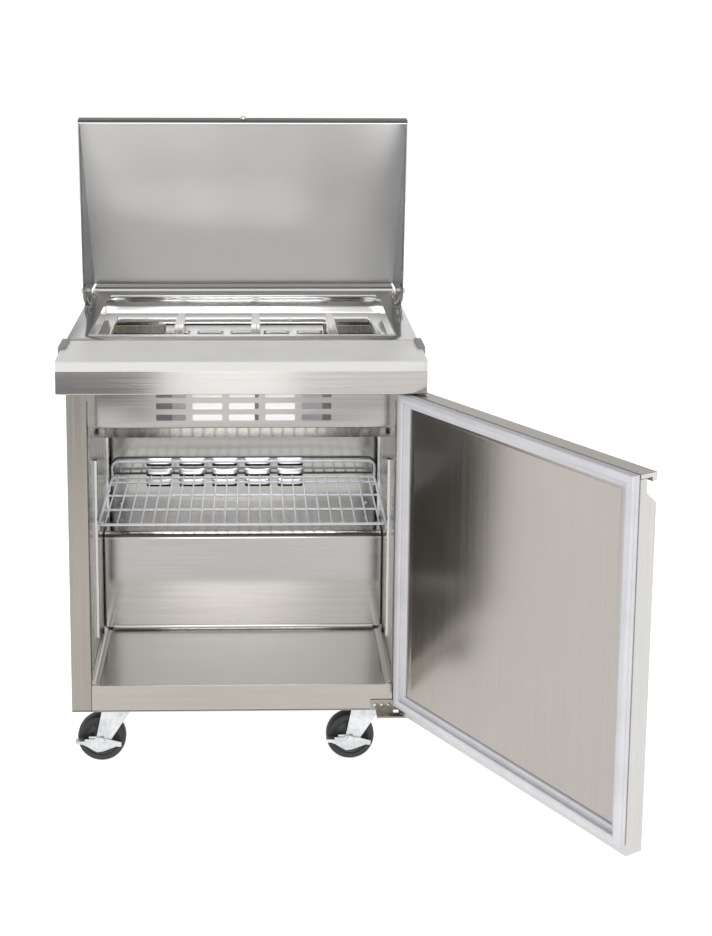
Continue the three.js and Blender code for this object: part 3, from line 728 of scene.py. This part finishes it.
def pan_well_skin():
    """The rolled rim, the stepped ledge that carries the pans, and its turned-down lip."""
    thick = 1.2
    ledge = 31
    skirt = 15
    under = LEDGE - thick
    profile = [
        (0, DECK + 0.2), (0, DECK + 1.6), (thick * 0.6, DECK + 2.2), (thick * 1.6, DECK + 1.4),
        (thick * 1.8, LEDGE + 2.4), (thick * 2.6, LEDGE + 0.6), (thick * 4, LEDGE),
        (ledge - 3, LEDGE), (ledge - 0.8, LEDGE - 0.8), (ledge, LEDGE - 3), (ledge, LEDGE - skirt),
        (ledge - thick, LEDGE - skirt), (ledge - thick, LEDGE - 3), (ledge - thick * 2, under),
        (thick * 1.6, under), (0.3, under + 0.4),
    ]
    rear = 186.7
    bm = bmesh.new()
    mitred_frame(bm, (*WELL_X, WELL_Y[0], rear), profile, "z")
    make(bm, "pan_well_skin", "well", "cabinet", ["pan_well"])
    well_rear_rail(rear, ledge)


def well_rear_rail(rear, ledge):
    """The rear lip of the ledge and the folded rail behind it, with the well's screws."""
    lip = rear - ledge - 15
    top = WELL_Z[1] - 0.8
    seat = LEDGE + 0.4
    bm = bmesh.new()
    path = [(rear - ledge + 0.5, seat), (lip + 1, seat), (lip, LEDGE - 14)]
    sheet(bm, path, -1.2, WELL_X[0] + ledge + 0.5, WELL_X[1] - ledge - 0.5, 3)
    front, back = rear - 1.2, rear + 4
    path = [(rear + 0.4, DECK + 0.6), (front, DECK + 0.6), (front, top), (back, top), (back, DECK + 1.2)]
    sheet(bm, path, -1.0, WELL_X[0] + 11, WELL_X[1] - 11, 1.5)
    make(bm, "well_rear_rail", "well")
    bm = bmesh.new()
    for x in (-225, 108):
        screw_head(bm, (x, lip - 0.6, LEDGE - 6), "y", 4.2, 2.4, -1)
    for x in (-300, -150, 0, 150, 300):
        screw_head(bm, (x, WELL_Y[0] + 3.2, LEDGE + 14), "y", 3.2, 1.4, 1)
    make(bm, "well_screws", "zinc")


def adapter_bars():
    """Channels across the well, with a raised rib and flat tongues that lie on the ledge."""
    front, rear = 15, 36
    for number in (1, 2, 3):
        (x0, x1), (y0, y1), (z0, z1) = extent("adapter_bar_%d" % number)
        bm = bmesh.new()
        path = [(x0, z0), (x0, z1 - 0.2), (x0 + 4, z1), (x1 - 4, z1), (x1, z1 - 0.2), (x1, z0)]
        sheet(bm, path, -1.2, y0 + front, y1 - rear, 1.5, "y")
        for end, sign, length in ((y0, 1, front + 1), (y1, -1, rear + 1)):
            path = [(end + sign * length, z1 - 0.1), (end + sign * 2, z1 - 0.1), (end, z1 - 0.9)]
            sheet(bm, path, 1.2 * sign, x0 + 2.5, x1 - 2.5, 1.0)
        middle = (x0 + x1) / 2
        rib = [(middle + a, z1 + b) for a, b in ((-3, -0.2), (-1.5, 0.6), (1.5, 0.6), (3, -0.2))]
        prism(bm, rib, "y", y0 + front * 2, y1 - 50)
        make(bm, "bar_%d_skin" % number, "well", "bar_%d" % number, ["adapter_bar_%d" % number])


def board_and_clips():
    coat("cutting_board", "board", 2.2, segments=3)
    for side, hand in (("left", -1), ("right", 1)):
        node = "board_clip_" + side
        coat(node, "clip", 1.3, segments=3)
        across, (y0, _), (z0, z1) = extent(node)
        outer = across[::hand][1]
        bm = bmesh.new()
        for k in range(6):
            y = y0 + 14 + k * 11
            block(bm, *sorted((outer, outer + hand * 0.5)), y, y + 3, z0 + 3, z1 - 4)
        make(bm, node + "_ribs", "clip", bevel=0.3)


# ---- Lid ----


def lid_pieces():
    coat("lid_hood", "lid", 0.7)
    coat("lid_knob", "zinc", 0.9, segments=3)
    lid_hems()
    hinge_hardware()


def lid_hems():
    """Returned lips along the free edges of the side flanges, in dark steel that is painted shade along the
    edges.
    """
    nose = Vector((LID_Y[0] + 1, LID_Z[1] - 6))
    foot = Vector((LID_HINGE[1] - 30.5, LID_HINGE[2] + 50))
    along = (foot - nose).normalized()
    side = Vector((-along.y, along.x))
    start = nose + along * 12
    lip = [start + side * 0.2, foot + side * 0.2, foot + side * 1.4, start + side * 1.4]
    bm = bmesh.new()
    for hand in (-1, 1):
        wall = (LID_X[1] - 1.5) * hand
        prism(bm, lip, "x", *sorted((wall, wall - hand * 3.5)))
    make(bm, "lid_hems", "edge", "lid", bevel=0.3)


def hinge_hardware():
    """On each side of the lid: the cheek and its screws, the pivot bolt and its nut, and the stay wire."""
    _, y, z = LID_HINGE
    pivot = (0, y, z)
    for side, hand in (("left", -1), ("right", 1)):
        coat("lid_cheek_" + side, "frame", 0.5)
        node = "lid_bolt_" + side
        inner, outer = extent(node)[0][::hand]
        bm = bmesh.new()
        lathe(bm, [(4, inner), (4, outer - hand)], pivot, "x", 16)
        hexagon(bm, pivot, "x", 7.4, *sorted((outer - hand * 5.4, outer)))
        hexagon(bm, pivot, "x", 7.2, *sorted((inner + hand * 0.4, inner + hand * 6.2)))
        make(bm, node + "_skin", "zinc", body_of_node(node), [node])
        wire = hand * 356
        path = [
            (wire + hand * 4, y - 14, DECK + 22), (wire, y - 14, DECK + 6),
            (wire, y + 30, DECK + 5), (wire, y + 110, DECK + 5), (wire, y + 112, DECK + 14),
        ]
        bm = bmesh.new()
        tube(bm, rounded(path, 5), 1.6, 8)
        make(bm, "stay_wire_" + side, "zinc")
        places = [(hand * 355, y + ahead, DECK + 2.4) for ahead in (10, 88)]
        screws("cheek_screws_" + side, places, "z", 4, 2.2)


# ---- Door ----

DOOR_PLACE = (
    Matrix.Translation(Vector(DOOR_HINGE) * MM)
    @ Matrix.Rotation(DOOR_OPEN, 4, "Z")
    @ Matrix.Translation(Vector(DOOR_HINGE) * -MM)
)


def door_pieces():
    coat("door_panel", "door", 1.2, DOOR_PLACE)
    coat("door_handle", "frame", 0.8, DOOR_PLACE)
    door_lining()
    door_gasket()


def door_lining():
    """The pressed inner panel: a flat field inside a raised, rounded border."""
    side = 302.7
    low, high = 47.3, 665.7
    border = 13.6
    face = DOOR_INNER + 0.4
    rise = 2.6
    profile = [
        (0, face), (0, face + rise), (5, face + rise), (8, face + rise * 0.9), (12, face + rise * 0.55),
        (14, face + rise * 0.5), (14, face),
    ]
    bm = bmesh.new()
    mitred_frame(bm, (-side, side, low, high), profile, "y")
    block(bm, border - side, side - border, face, face + rise * 0.5, low + border, high - border)
    make(bm, "door_lining_skin", "lining", "door", ["door_lining"], DOOR_PLACE, smooth=50)


def door_gasket():
    """The magnetic seal: a flat magnet face, a bellows pleat and an inner lip."""
    seat = DOOR_INNER + 0.3
    face = SEAL_FACE
    profile = [
        (0, seat), (0, seat + 4), (1.8, seat + 6.4), (0.2, seat + 9), (0.3, face - 1.6), (1.8, face),
        (14, face), (15.6, face - 1), (16, face - 3.4), (14.6, face - 5.4), (15.4, face - 8),
        (19, face - 9.4), (22.5, face - 8.6), (26, face - 9.6), (27, face - 12), (27, seat),
    ]
    bm = bmesh.new()
    mitred_frame(bm, (-330, 330, 24, 687.2), profile, "y")
    make(bm, "door_gasket_skin", "gasket", "door", ["door_gasket"], DOOR_PLACE, smooth=50)


def door_hinges():
    coat("hinge_bracket_bottom", "frame", 0.5)
    coat("hinge_bracket_top", "frame", 0.5)
    start = extent("hinge_bracket_bottom")[0][0] + 10
    places = [(start + k * 14, WALL_Y[0] - 3.2, 13) for k in range(3)]
    screws("hinge_screws", places, "y", 4.4, 2.6, -1)


# ---- Inside the cavity ----


def air_baffle():
    """The folded front of the air duct, with five columns of three slots and a lip along its foot."""
    face = BAFFLE_Y[0]
    foot = 581
    lip = 31
    middle, pitch = 3, 75.8
    lowest, rise = 601.5, 24.5
    bm = bmesh.new()
    sheet(bm, [(face, BAFFLE_Z[1]), (face, foot), (face + lip, foot - lip)], 1.2, *BAFFLE_X, 5, steps=5)
    piece = make(bm, "air_baffle_skin", "inner", "cabinet", ["air_baffle"])
    tools = bmesh.new()
    for column in range(5):
        for row in range(3):
            slot_cutter(tools, middle + pitch * (column - 2), lowest + rise * row, 62, 13, face)
    cut(piece, tools)
    places = [(x, face - 0.2, BAFFLE_Z[1] - 12) for x in (-292, -180, 180, 292)]
    screws("baffle_screws", places, "y", 4, 2, -1)


def air_guide():
    """The deflector behind the baffle, seen through its slots: bright steel in the middle that is painted
    light, with dark ribs and grey ends that are painted shade.
    """
    y = BAFFLE_Y[0] + 130
    low, high = 545, 668
    bm = bmesh.new()
    sheet(bm, [(y + 14, low), (y, low + 12), (y, high), (y + 14, high + 8)], 1.0, -116, 122, 4)
    make(bm, "air_guide", "guide")
    # The ribs and ends are dark pieces of painted shade.
    for name, look, front, spans in (
        ("air_guide_shade_ribs", "shade", y - 6, ((-200, -152), (26, 38), (172, 204))),
        ("air_guide_shade_ends", "clip", y - 5, ((-151, -118), (124, 171))),
    ):
        bm = bmesh.new()
        for x0, x1 in spans:
            block(bm, x0, x1, front, y - 2, low + 4, high)
        make(bm, name, look, bevel=0.5)


def evaporator_cover():
    """The folded cover over the coil, with a hood above each slot and dark strips behind the slots."""
    face = COVER_Y[0]
    shoulder = 640
    crest = 688
    back = 146
    rows = (349, 373.5, 398)
    columns = [-44 + 76 * (column - 2) for column in range(5)]
    bm = bmesh.new()
    sheet(bm, [(face, COVER_Z[0]), (face, shoulder), (back, crest)], -1.2, *COVER_X, 12, steps=6)
    piece = make(bm, "evaporator_cover_skin", "inner", "cabinet", ["evaporator_cover"])
    tools = bmesh.new()
    hoods = bmesh.new()
    strips = bmesh.new()
    for z in rows:
        for x in columns:
            slot_cutter(tools, x, z - 1, 58, 8, face)
            hood(hoods, x, face, z + 14, 12, 7)
        block(strips, columns[0] - 34, columns[-1] + 34, face + 12, face + 14, z - 8, z + 16)
    for hand, edge in zip((-1, 1), COVER_X):
        block(strips, *sorted((edge + hand * 2, edge + hand * 8)), face + 4, face + 8, 420, shoulder)
    cut(piece, tools)
    # The hoods are bright steel, a painted highlight against the cover's own steel.
    make(hoods, "cover_louvres", "guide", smooth=60)
    make(strips, "cover_shadow_strips", "plastic", bevel=0.5)
    places = [(x, face - 0.1, z) for x in (-285, 285) for z in (COVER_Z[0] + 18, 470, 625)]
    screws("cover_screws", places, "y", 4, 2, -1)


def crest_louvres():
    """The outlet of the air duct and its row of hoods, seen through the pan well, and the end plates."""
    foot = (66, 656)
    brow = (70, 684)
    crest = (138, 712.5)
    x0, x1 = -180, 185
    bm = bmesh.new()
    sheet(bm, [foot, brow, crest, (crest[0], 698)], -1.0, x0, x1, 4)
    # Bright steel: painted highlight.
    make(bm, "duct_outlet", "guide")
    bm = bmesh.new()
    for start, stop in ((-300, x0 - 2), (x1 + 2, 300)):
        sheet(bm, [(150, 655), (150, 708), (147, 714)], -1.0, start, stop, 2)
    make(bm, "well_end_plates", "frame")
    pitch = 76.5
    bm = bmesh.new()
    for column in range(5):
        hood(bm, pitch * (column - 2), 0, 10, 18, 9)
    slope = math.atan2(crest[1] - brow[1], crest[0] - brow[0])
    middle = ((brow[0] + crest[0]) / 2, (brow[1] + crest[1]) / 2 + 0.6)
    bm.transform(Matrix.Translation((0, *middle)) @ Matrix.Rotation(slope - math.pi / 2, 4, "X"))
    # Bright steel: painted highlight.
    make(bm, "crest_louvres", "guide", smooth=60)


def wire_shelf():
    """A ring of thick wire with three bars under it, thin wires from front to back, and a rear fence."""
    x0, x1 = SHELF_X
    y0, y1 = SHELF_Y
    top = 377
    thin = 1.8
    thick = 3.0
    deck = top - 2 * thin - thick + 0.4
    left, right, front, rear = x0 + thick, x1 - thick, y0 + thick, y1 - thick
    bm = bmesh.new()
    ring = [(left, front, deck), (right, front, deck), (right, rear, deck), (left, rear, deck)]
    tube(bm, rounded(ring, 14, 5, closed=True), thick, 10, closed=True)
    for y in (-188.7, -89.7, 7.3):
        tube(bm, [(left, y, deck), (right, y, deck)], 2.6, 10)
    near, far = y0 + 1.9, y1 - 1.9
    high, low = top - thin, deck - 2.4
    for x in evenly(x0 + 18, x1 - 18, 24):
        tube(bm, rounded([(x, near, low), (x, near, high), (x, far, high), (x, far, low)], 4.5, 4), thin, 8)
    crest = SHELF_Z[1] - thick
    fence = [(left, rear, deck), (left, rear, crest), (right, rear, crest), (right, rear, deck)]
    tube(bm, rounded(fence, 16, 6), thick, 10)
    make(bm, "wire_shelf_skin", "wire", "shelf", ["wire_shelf"], smooth=60)


def pilasters():
    """Slotted shelf standards: a shallow channel with a row of slots in its face, and a shelf clip."""
    pitch = 12.5
    for place in ("front", "rear"):
        for side, hand in (("left", -1), ("right", 1)):
            node = "pilaster_%s_%s" % (place, side)
            across, (y0, y1), (z0, z1) = extent(node)
            face, wall = across[::hand]
            path = [(wall, y0), (face, y0 + 0.3), (face, y1 - 0.3), (wall, y1)]
            bm = bmesh.new()
            sheet(bm, path, -1.1 * hand, z0, z1, 1.4, "z")
            piece = make(bm, node + "_skin", "inner_side", "cabinet", [node])
            front, back = (y0 + y1) / 2 - 4.5, (y0 + y1) / 2 + 4.5
            tools = bmesh.new()
            for k in range(int((z1 - z0 - 20) / pitch)):
                z = z0 + 12 + k * pitch
                block(tools, face - 3, face + 3, front, back, z, z + 4)
            cut(piece, tools)
            coat("shelf_clip_%s_%s" % (place, side), "zinc", 0.5)


def evaporator():
    """The coil: thin fins, straight tubes with bends at both ends, and two end plates."""
    (x0, x1), (y0, y1), (z0, z1) = extent("evaporator_coil")
    bm = bmesh.new()
    for x in evenly(x0 + 12, x1 - 12, 60):
        block(bm, x - 0.25, x + 0.25, y0 + 4, y1 - 4, z0 + 4, z1 - 4)
    make(bm, "evaporator_fins", "fin", "cabinet", ["evaporator_coil"])
    pitch = 25
    first, second = y0 + 22, y0 + 52
    bm = bmesh.new()
    for row in range(5):
        z = z0 + 18 + row * pitch
        for y in (first, second):
            tube(bm, [(x0 + 3, y, z), (x1 - 3, y, z)], 4.6, 10)
    for row in range(4):
        z = z0 + 18 + row * pitch
        for hand, x in ((-1, x0 + 6), (1, x1 - 6)):
            y = second if (row + (hand > 0)) % 2 else first
            path = [(x, y, z), (x + hand * 6, y, z), (x + hand * 6, y, z + pitch), (x, y, z + pitch)]
            tube(bm, rounded(path, 6, 4), 4.4, 10)
    for x in (x0 + 7, x1 - 8.5):
        block(bm, x, x + 1.5, y0 + 1, y1 - 1, z0 + 1, z1 - 1)
    make(bm, "evaporator_tubes", "fin")


def fan(node, body, radius):
    """A five-bladed axial rotor with a turned motor case."""
    centre = joint_place(node + "_spin")
    hub = radius * 0.34
    case = [
        (0, -14), (hub * 0.7, -14), (hub * 0.96, -12), (hub, -9),
        (hub, 16), (hub * 0.94, 19.4), (hub * 0.4, 20), (0, 20),
    ]
    bm = bmesh.new()
    lathe(bm, case, centre, "y", 36)
    blades = 5
    for index in range(blades):
        fan_blade(bm, centre, radius, 2 * math.pi * index / blades)
    make(bm, node + "_skin", "plastic", body, [node], smooth=50)


def fan_blade(bm, centre, radius, base):
    """One swept blade, twisted most at its root."""
    cx, cy, cz = centre
    rows = 7
    columns = 6
    half = 0.9
    grid = []
    for i in range(rows + 1):
        out = i / rows
        r = radius * (0.33 + 0.62 * out)
        width = 0.55 + 0.16 * math.sin(math.pi * out)
        row = []
        for j in range(columns + 1):
            t = j / columns - 0.5
            angle = base + t * width + 0.10 * out
            y = 9 * math.sin(1.9 * t) * (1 - 0.35 * out)
            row.append(Vector((cx + r * math.cos(angle), cy + y, cz + r * math.sin(angle))))
        grid.append(row)
    front, back = [
        [[bm.verts.new(p + Vector((0, shift, 0))) for p in row] for row in grid] for shift in (-half, half)
    ]
    plate(bm, front, back)


# ---- Machine compartment ----


def compressor():
    """The welded case, its feet on rubber mounts, and two refrigerant lines."""
    cx, cy = -170, 150
    floor = extent("compressor")[2][0]
    base = floor + 10
    corners = [(a, b) for a in (-1, 1) for b in (-1, 1)]
    case = [
        (0, 0), (66, 0), (74, 6), (77.5, 20), (77.5, 62), (78, 64), (78, 70), (77.2, 72),
        (77.2, 112), (74, 126), (66, 140), (52, 149), (30, 155), (0, 157.5),
    ]
    bm = bmesh.new()
    lathe(bm, case, (cx, cy, base), "z", 48)
    for a, b in corners:
        x, y = cx + a * 62, cy + b * 44
        block(bm, x - 18, x + 18, y - 15, y + 15, floor + 7, floor + 10.5)
    make(bm, "compressor_shell", "paint", "cabinet", ["compressor"], smooth=40)
    bm = bmesh.new()
    for a, b in corners:
        centre = (cx + a * 66, cy + b * 48, floor)
        lathe(bm, [(9, 0.2), (11, 3), (9, 5), (11, 7), (0, 7)], centre, "z", 20)
        hexagon(bm, centre, "z", 5, 10.6, 15)
    make(bm, "compressor_feet", "tyre")
    high = base + 120
    low = base + 90
    lines = (
        [(-130, 200, high), (-100, 230, high + 10), (40, 300, high + 10), (40, 330, high)],
        [(-220, 195, low), (-240, 240, low), (-240, 250, low + 70), (-210, 300, low + 100)],
    )
    bm = bmesh.new()
    for path in lines:
        tube(bm, rounded(path, 25, 6), 4, 10)
    make(bm, "suction_lines", "fin")


def condenser():
    """The coil: thin fins between two end plates, and two rows of tubes."""
    (x0, x1), (y0, y1), (z0, z1) = extent("condenser_coil")
    bm = bmesh.new()
    for x in evenly(x0 + 8, x1 - 8, 52):
        block(bm, x - 0.3, x + 0.3, y0 + 7, y1 - 7, z0 + 3, z1 - 4)
    for x in (x0 + 1, x1 - 2.5):
        block(bm, x, x + 1.5, y0 + 4, y1 - 4, z0 + 0.3, z1 - 1)
    make(bm, "condenser_fins", "paint", "cabinet", ["condenser_coil"])
    bm = bmesh.new()
    for row in range(8):
        z = z0 + 16 + row * 25
        for y in (y0 + 18, y0 + 38):
            tube(bm, [(x0 + 0.5, y, z), (x1 - 0.5, y, z)], 4.2, 10)
    make(bm, "condenser_tubes", "paint")


def rear_grille():
    """The sheet over the machine compartment, with two columns of slots under drip louvres."""
    (x0, x1), (y0, y1), (z0, z1) = extent("rear_grille")
    slots = [(x, 34 + row * 22) for row in range(9) for x in (-150, 150)]
    bm = bmesh.new()
    block(bm, x0, x1, y0, y0 + 1.2, z0, z1)
    piece = make(bm, "rear_grille_skin", "inner", "cabinet", ["rear_grille"])
    tools = bmesh.new()
    louvres = bmesh.new()
    for x, z in slots:
        slot_cutter(tools, x, z, 246, 7, y0)
        path = [(y0 + 1.1, z + 4.4), (y0 + 3.6, z + 0.5), (y0 + 3.9, z - 3.6)]
        sheet(louvres, path, 0.7, x - 122, x + 122, 1.2)
    cut(piece, tools)
    make(louvres, "grille_louvres", "inner")
    places = [(x, y1 - 0.9, z) for x in (x0 + 10, 0, x1 - 10) for z in (z0 + 9, z1 - 8)]
    screws("grille_screws", places, "y", 4, 2.2)


def cord_gland():
    (x0, x1), (y0, y1), (z0, z1) = extent("cord_gland")
    profile = [
        (5, y0), (13, y0), (13, y0 + 3), (11, y0 + 4), (10, y0 + 8), (8.5, y1), (5.5, y1), (5, y1 - 3),
    ]
    bm = bmesh.new()
    lathe(bm, profile, ((x0 + x1) / 2, 0, (z0 + z1) / 2), "y", 32, closed=True)
    make(bm, "cord_gland_skin", "plastic", "cabinet", ["cord_gland"])


# ---- Casters ----


def caster_wheel(place):
    """The tyre, and the ribbed hub inside it."""
    centre = joint_place("caster_roll_" + place)
    body = "wheel_" + place
    radius = 50.8
    half = 16
    tyre = [
        (36.5, 2 - half), (38, 0.2 - half), (44, -half),
        (47.4, 0.8 - half), (49.8, 4 - half), (radius, 9 - half),
    ]
    bm = bmesh.new()
    lathe(bm, mirrored(tyre), centre, "y", 64, closed=True)
    make(bm, "tyre_" + place, "tyre", body, ["caster_wheel_" + place], smooth=30)
    ribs = 6
    core = [
        (5.3, -18), (13, -18), (14.5, -16.6), (15, -12.5), (17, -11.2), (31, -11.2), (34, -13), (36.4, -13.6),
    ]
    bm = bmesh.new()
    for _ in range(ribs):
        for hand in (-1, 1):
            block(bm, 15, 34, *sorted((hand * 11, hand * 13.2)), -1.6, 1.6)
        bm.transform(Matrix.Rotation(2 * math.pi / ribs, 4, "Y"))
    lathe(bm, mirrored(core), (0, 0, 0), "y", 48, closed=True)
    bm.transform(Matrix.Translation(centre))
    make(bm, "core_" + place, "hub", body, smooth=30)


def caster_fork(place):
    """The fork, its kingpin, and the axle's nuts and washer."""
    body = "swivel_" + place
    cx, cy, _ = joint_place("caster_swivel_" + place)
    wheel = joint_place("caster_roll_" + place)
    coat("caster_fork_" + place, "zinc", 0.9)
    kingpin = [(0, -19.4), (7.5, -19.4), (9, -18.4), (9, -15), (20, -14.4), (20, -13.6), (0, -13.6)]
    bm = bmesh.new()
    lathe(bm, kingpin, (cx, cy, 0), "z", 28)
    make(bm, "kingpin_" + place, "zinc", body)
    bm = bmesh.new()
    hexagon(bm, wheel, "y", 8.4, 23.6, 29.6)
    lathe(bm, [(5.4, 22.9), (11, 22.9), (11, 23.9), (5.4, 23.9)], wheel, "y", 28, closed=True)
    hexagon(bm, wheel, "y", 8.4, -29.4, -26.2)
    make(bm, "axle_nuts_" + place, "zinc", body)


def caster_plate(place):
    """The top plate and the four bolts through its corners."""
    node = "caster_plate_" + place
    (x0, x1), (y0, y1), (z0, _) = extent(node)
    coat(node, "zinc", 0.9)
    bm = bmesh.new()
    for x in (x0 + 11, x1 - 11):
        for y in (y0 + 9, y1 - 9):
            hexagon(bm, (x, y, 0), "z", 6.6, z0 - 4.6, z0 - 0.1)
            lathe(bm, [(3.2, z0 - 7), (3.2, z0 - 4.4)], (x, y, 0), "z", 12)
    make(bm, "plate_bolts_" + place, "zinc")


def casters():
    for place in ("front_left", "front_right", "rear_left", "rear_right"):
        caster_plate(place)
        caster_fork(place)
        caster_wheel(place)
    for side in ("left", "right"):
        coat("brake_pedal_front_" + side, "zinc", 0.8)


# ---- Room, light and camera ----


def studio_slab(name, spans, shades, **values):
    """A flat, softly glowing slab of the studio, which isn't part of the object."""
    bm = bmesh.new()
    block(bm, *spans)
    mesh = mesh_of(bm, name)
    material, tree, shader = shader_of(name, Roughness=0.9, **values)
    shader.inputs["Emission Color"].default_value = (1, 1, 1, 1)
    first, second = [(shade, shade, shade) for shade in shades]
    mottle = spread(tree, noise(tree, 2.0, 2), 0, 1)
    tree.links.new(tint(tree, mottle, first, second), shader.inputs["Base Color"])
    mesh.materials.append(material)
    slab = placed(name, mesh)
    return slab


def stage_floor():
    """A plain pale studio floor."""
    half = 9000
    spans = (-half, half, -half, half, FLOOR_Z - 12, FLOOR_Z - 0.2)
    studio_slab("studio_floor", spans, (0.93, 0.95), Specular_IOR_Level=0.05, Emission_Strength=0.7)


def flag(name, x0, x1, level):
    """A grey card on the floor in front of the cabinet, which shows only in reflections."""
    near, far = -2700, -4400
    spans = (x0, x1, far, near, FLOOR_Z + 2, FLOOR_Z + 6)
    card = studio_slab(name, spans, (0.02, 0.03), Emission_Strength=level)
    card.visible_camera = False
    card.visible_diffuse = False
    card.visible_shadow = False


def lamp(name, kind, toward, power):
    """A light that shines in a direction."""
    data = bpy.data.lights.new(name, kind)
    data.energy = power
    light = placed(name, data)
    light.rotation_mode = "QUATERNION"
    light.rotation_quaternion = Vector(toward).to_track_quat("-Z", "Y")
    return light


def soft_box(name, place, target, width, height, power):
    """A rectangular area light, in metres, turned toward a point."""
    light = lamp(name, "AREA", Vector(target) - Vector(place), power)
    light.location = place
    light.visible_camera = False
    light.data.shape = "RECTANGLE"
    light.data.size = width
    light.data.size_y = height


def sky():
    """White up to the horizon and a little above it, then dimmer towards the top."""
    stops = ((0.0, 1.0), (0.66, 1.0), (0.78, 0.62), (0.9, 0.3), (1.0, 0.5))
    world = bpy.data.worlds.new("studio")
    bpy.context.scene.world = world
    world.use_nodes = True
    tree = world.node_tree
    up = add_node(tree, "SeparateXYZ", "Z", {"Vector": add_node(tree, "TexCoord", "Generated")})
    ramp = tree.nodes.new("ShaderNodeValToRGB")
    tree.links.new(spread(tree, up, 0, 1, -1, 1), ramp.inputs["Fac"])
    elements = ramp.color_ramp.elements
    elements[0].position = stops[0][0]
    elements[1].position = stops[-1][0]
    for position, _ in stops[1:-1]:
        elements.new(position)
    for element, (position, level) in zip(elements, stops):
        element.position = position
        element.color = (level, level * 0.99, level * 0.975, 1)
    background = tree.nodes["Background"]
    tree.links.new(ramp.outputs["Color"], background.inputs["Color"])
    background.inputs["Strength"].default_value = 1.03


def sun(name, place, strength, spread_deg):
    """A wide, distant light from the side that a place is on."""
    light = lamp(name, "SUN", -Vector(place), strength)
    light.data.angle = math.radians(spread_deg)


def studio_light():
    sky()
    sun("front_sun", (-0.35, -1.0, 0.9), 0.7, 70)
    soft_box("front", (-0.1, -5.2, 0.9), (-0.05, 0.0, 0.6), 0.8, 2.0, 14)
    soft_box("side", (1.9, -4.6, 1.0), (0.2, 0.0, 0.5), 1.2, 2.0, 16)
    soft_box("guide", (0.0, -0.225, 0.687), (0.0, -0.16, 0.56), 0.42, 0.06, 0.5)
    soft_box("cavity", (0.0, -0.05, 0.685), (0.0, 0.05, 0.3), 0.45, 0.15, 0.9)
    flag("left_flag", -2600, -370, 0.2)
    flag("right_flag", 190, 2600, 0.95)


def photo_camera():
    """The camera at the photograph's viewing angle, with its frame offset by lens shift."""
    yaw, pitch, roll = 0.0263, 0.1665, 0.0040
    place = (0.0250, -3.5172, 1.4662)
    forward = Vector((math.sin(yaw) * math.cos(pitch), math.cos(yaw) * math.cos(pitch), -math.sin(pitch)))
    level = Vector((math.cos(yaw), -math.sin(yaw), 0))
    upward = level.cross(forward)
    right = math.cos(roll) * level + math.sin(roll) * upward
    top = -math.sin(roll) * level + math.cos(roll) * upward
    data = bpy.data.cameras.new("photo_camera")
    data.sensor_width = 36
    data.lens = 61.405
    data.shift_x = 0.0644
    data.shift_y = -0.2161
    data.clip_end = 60
    camera = placed("photo_camera", data)
    turn = Matrix((right, top, -forward)).transposed().to_4x4()
    camera.matrix_world = Matrix.Translation(place) @ turn
    bpy.context.scene.camera = camera


cabinet_shell()
liner_coves()
frame_trim()
worktop_skin()
pan_well_skin()
adapter_bars()
board_and_clips()
lid_pieces()
door_pieces()
door_hinges()
air_baffle()
air_guide()
evaporator_cover()
crest_louvres()
wire_shelf()
pilasters()
evaporator()
fan("evaporator_fan", "evaporator_rotor", 74)
fan("condenser_fan", "condenser_rotor", 84)
compressor()
condenser()
rear_grille()
cord_gland()
casters()
stage_floor()
studio_light()
photo_camera()
bpy.context.scene.view_settings.view_transform = "Standard"
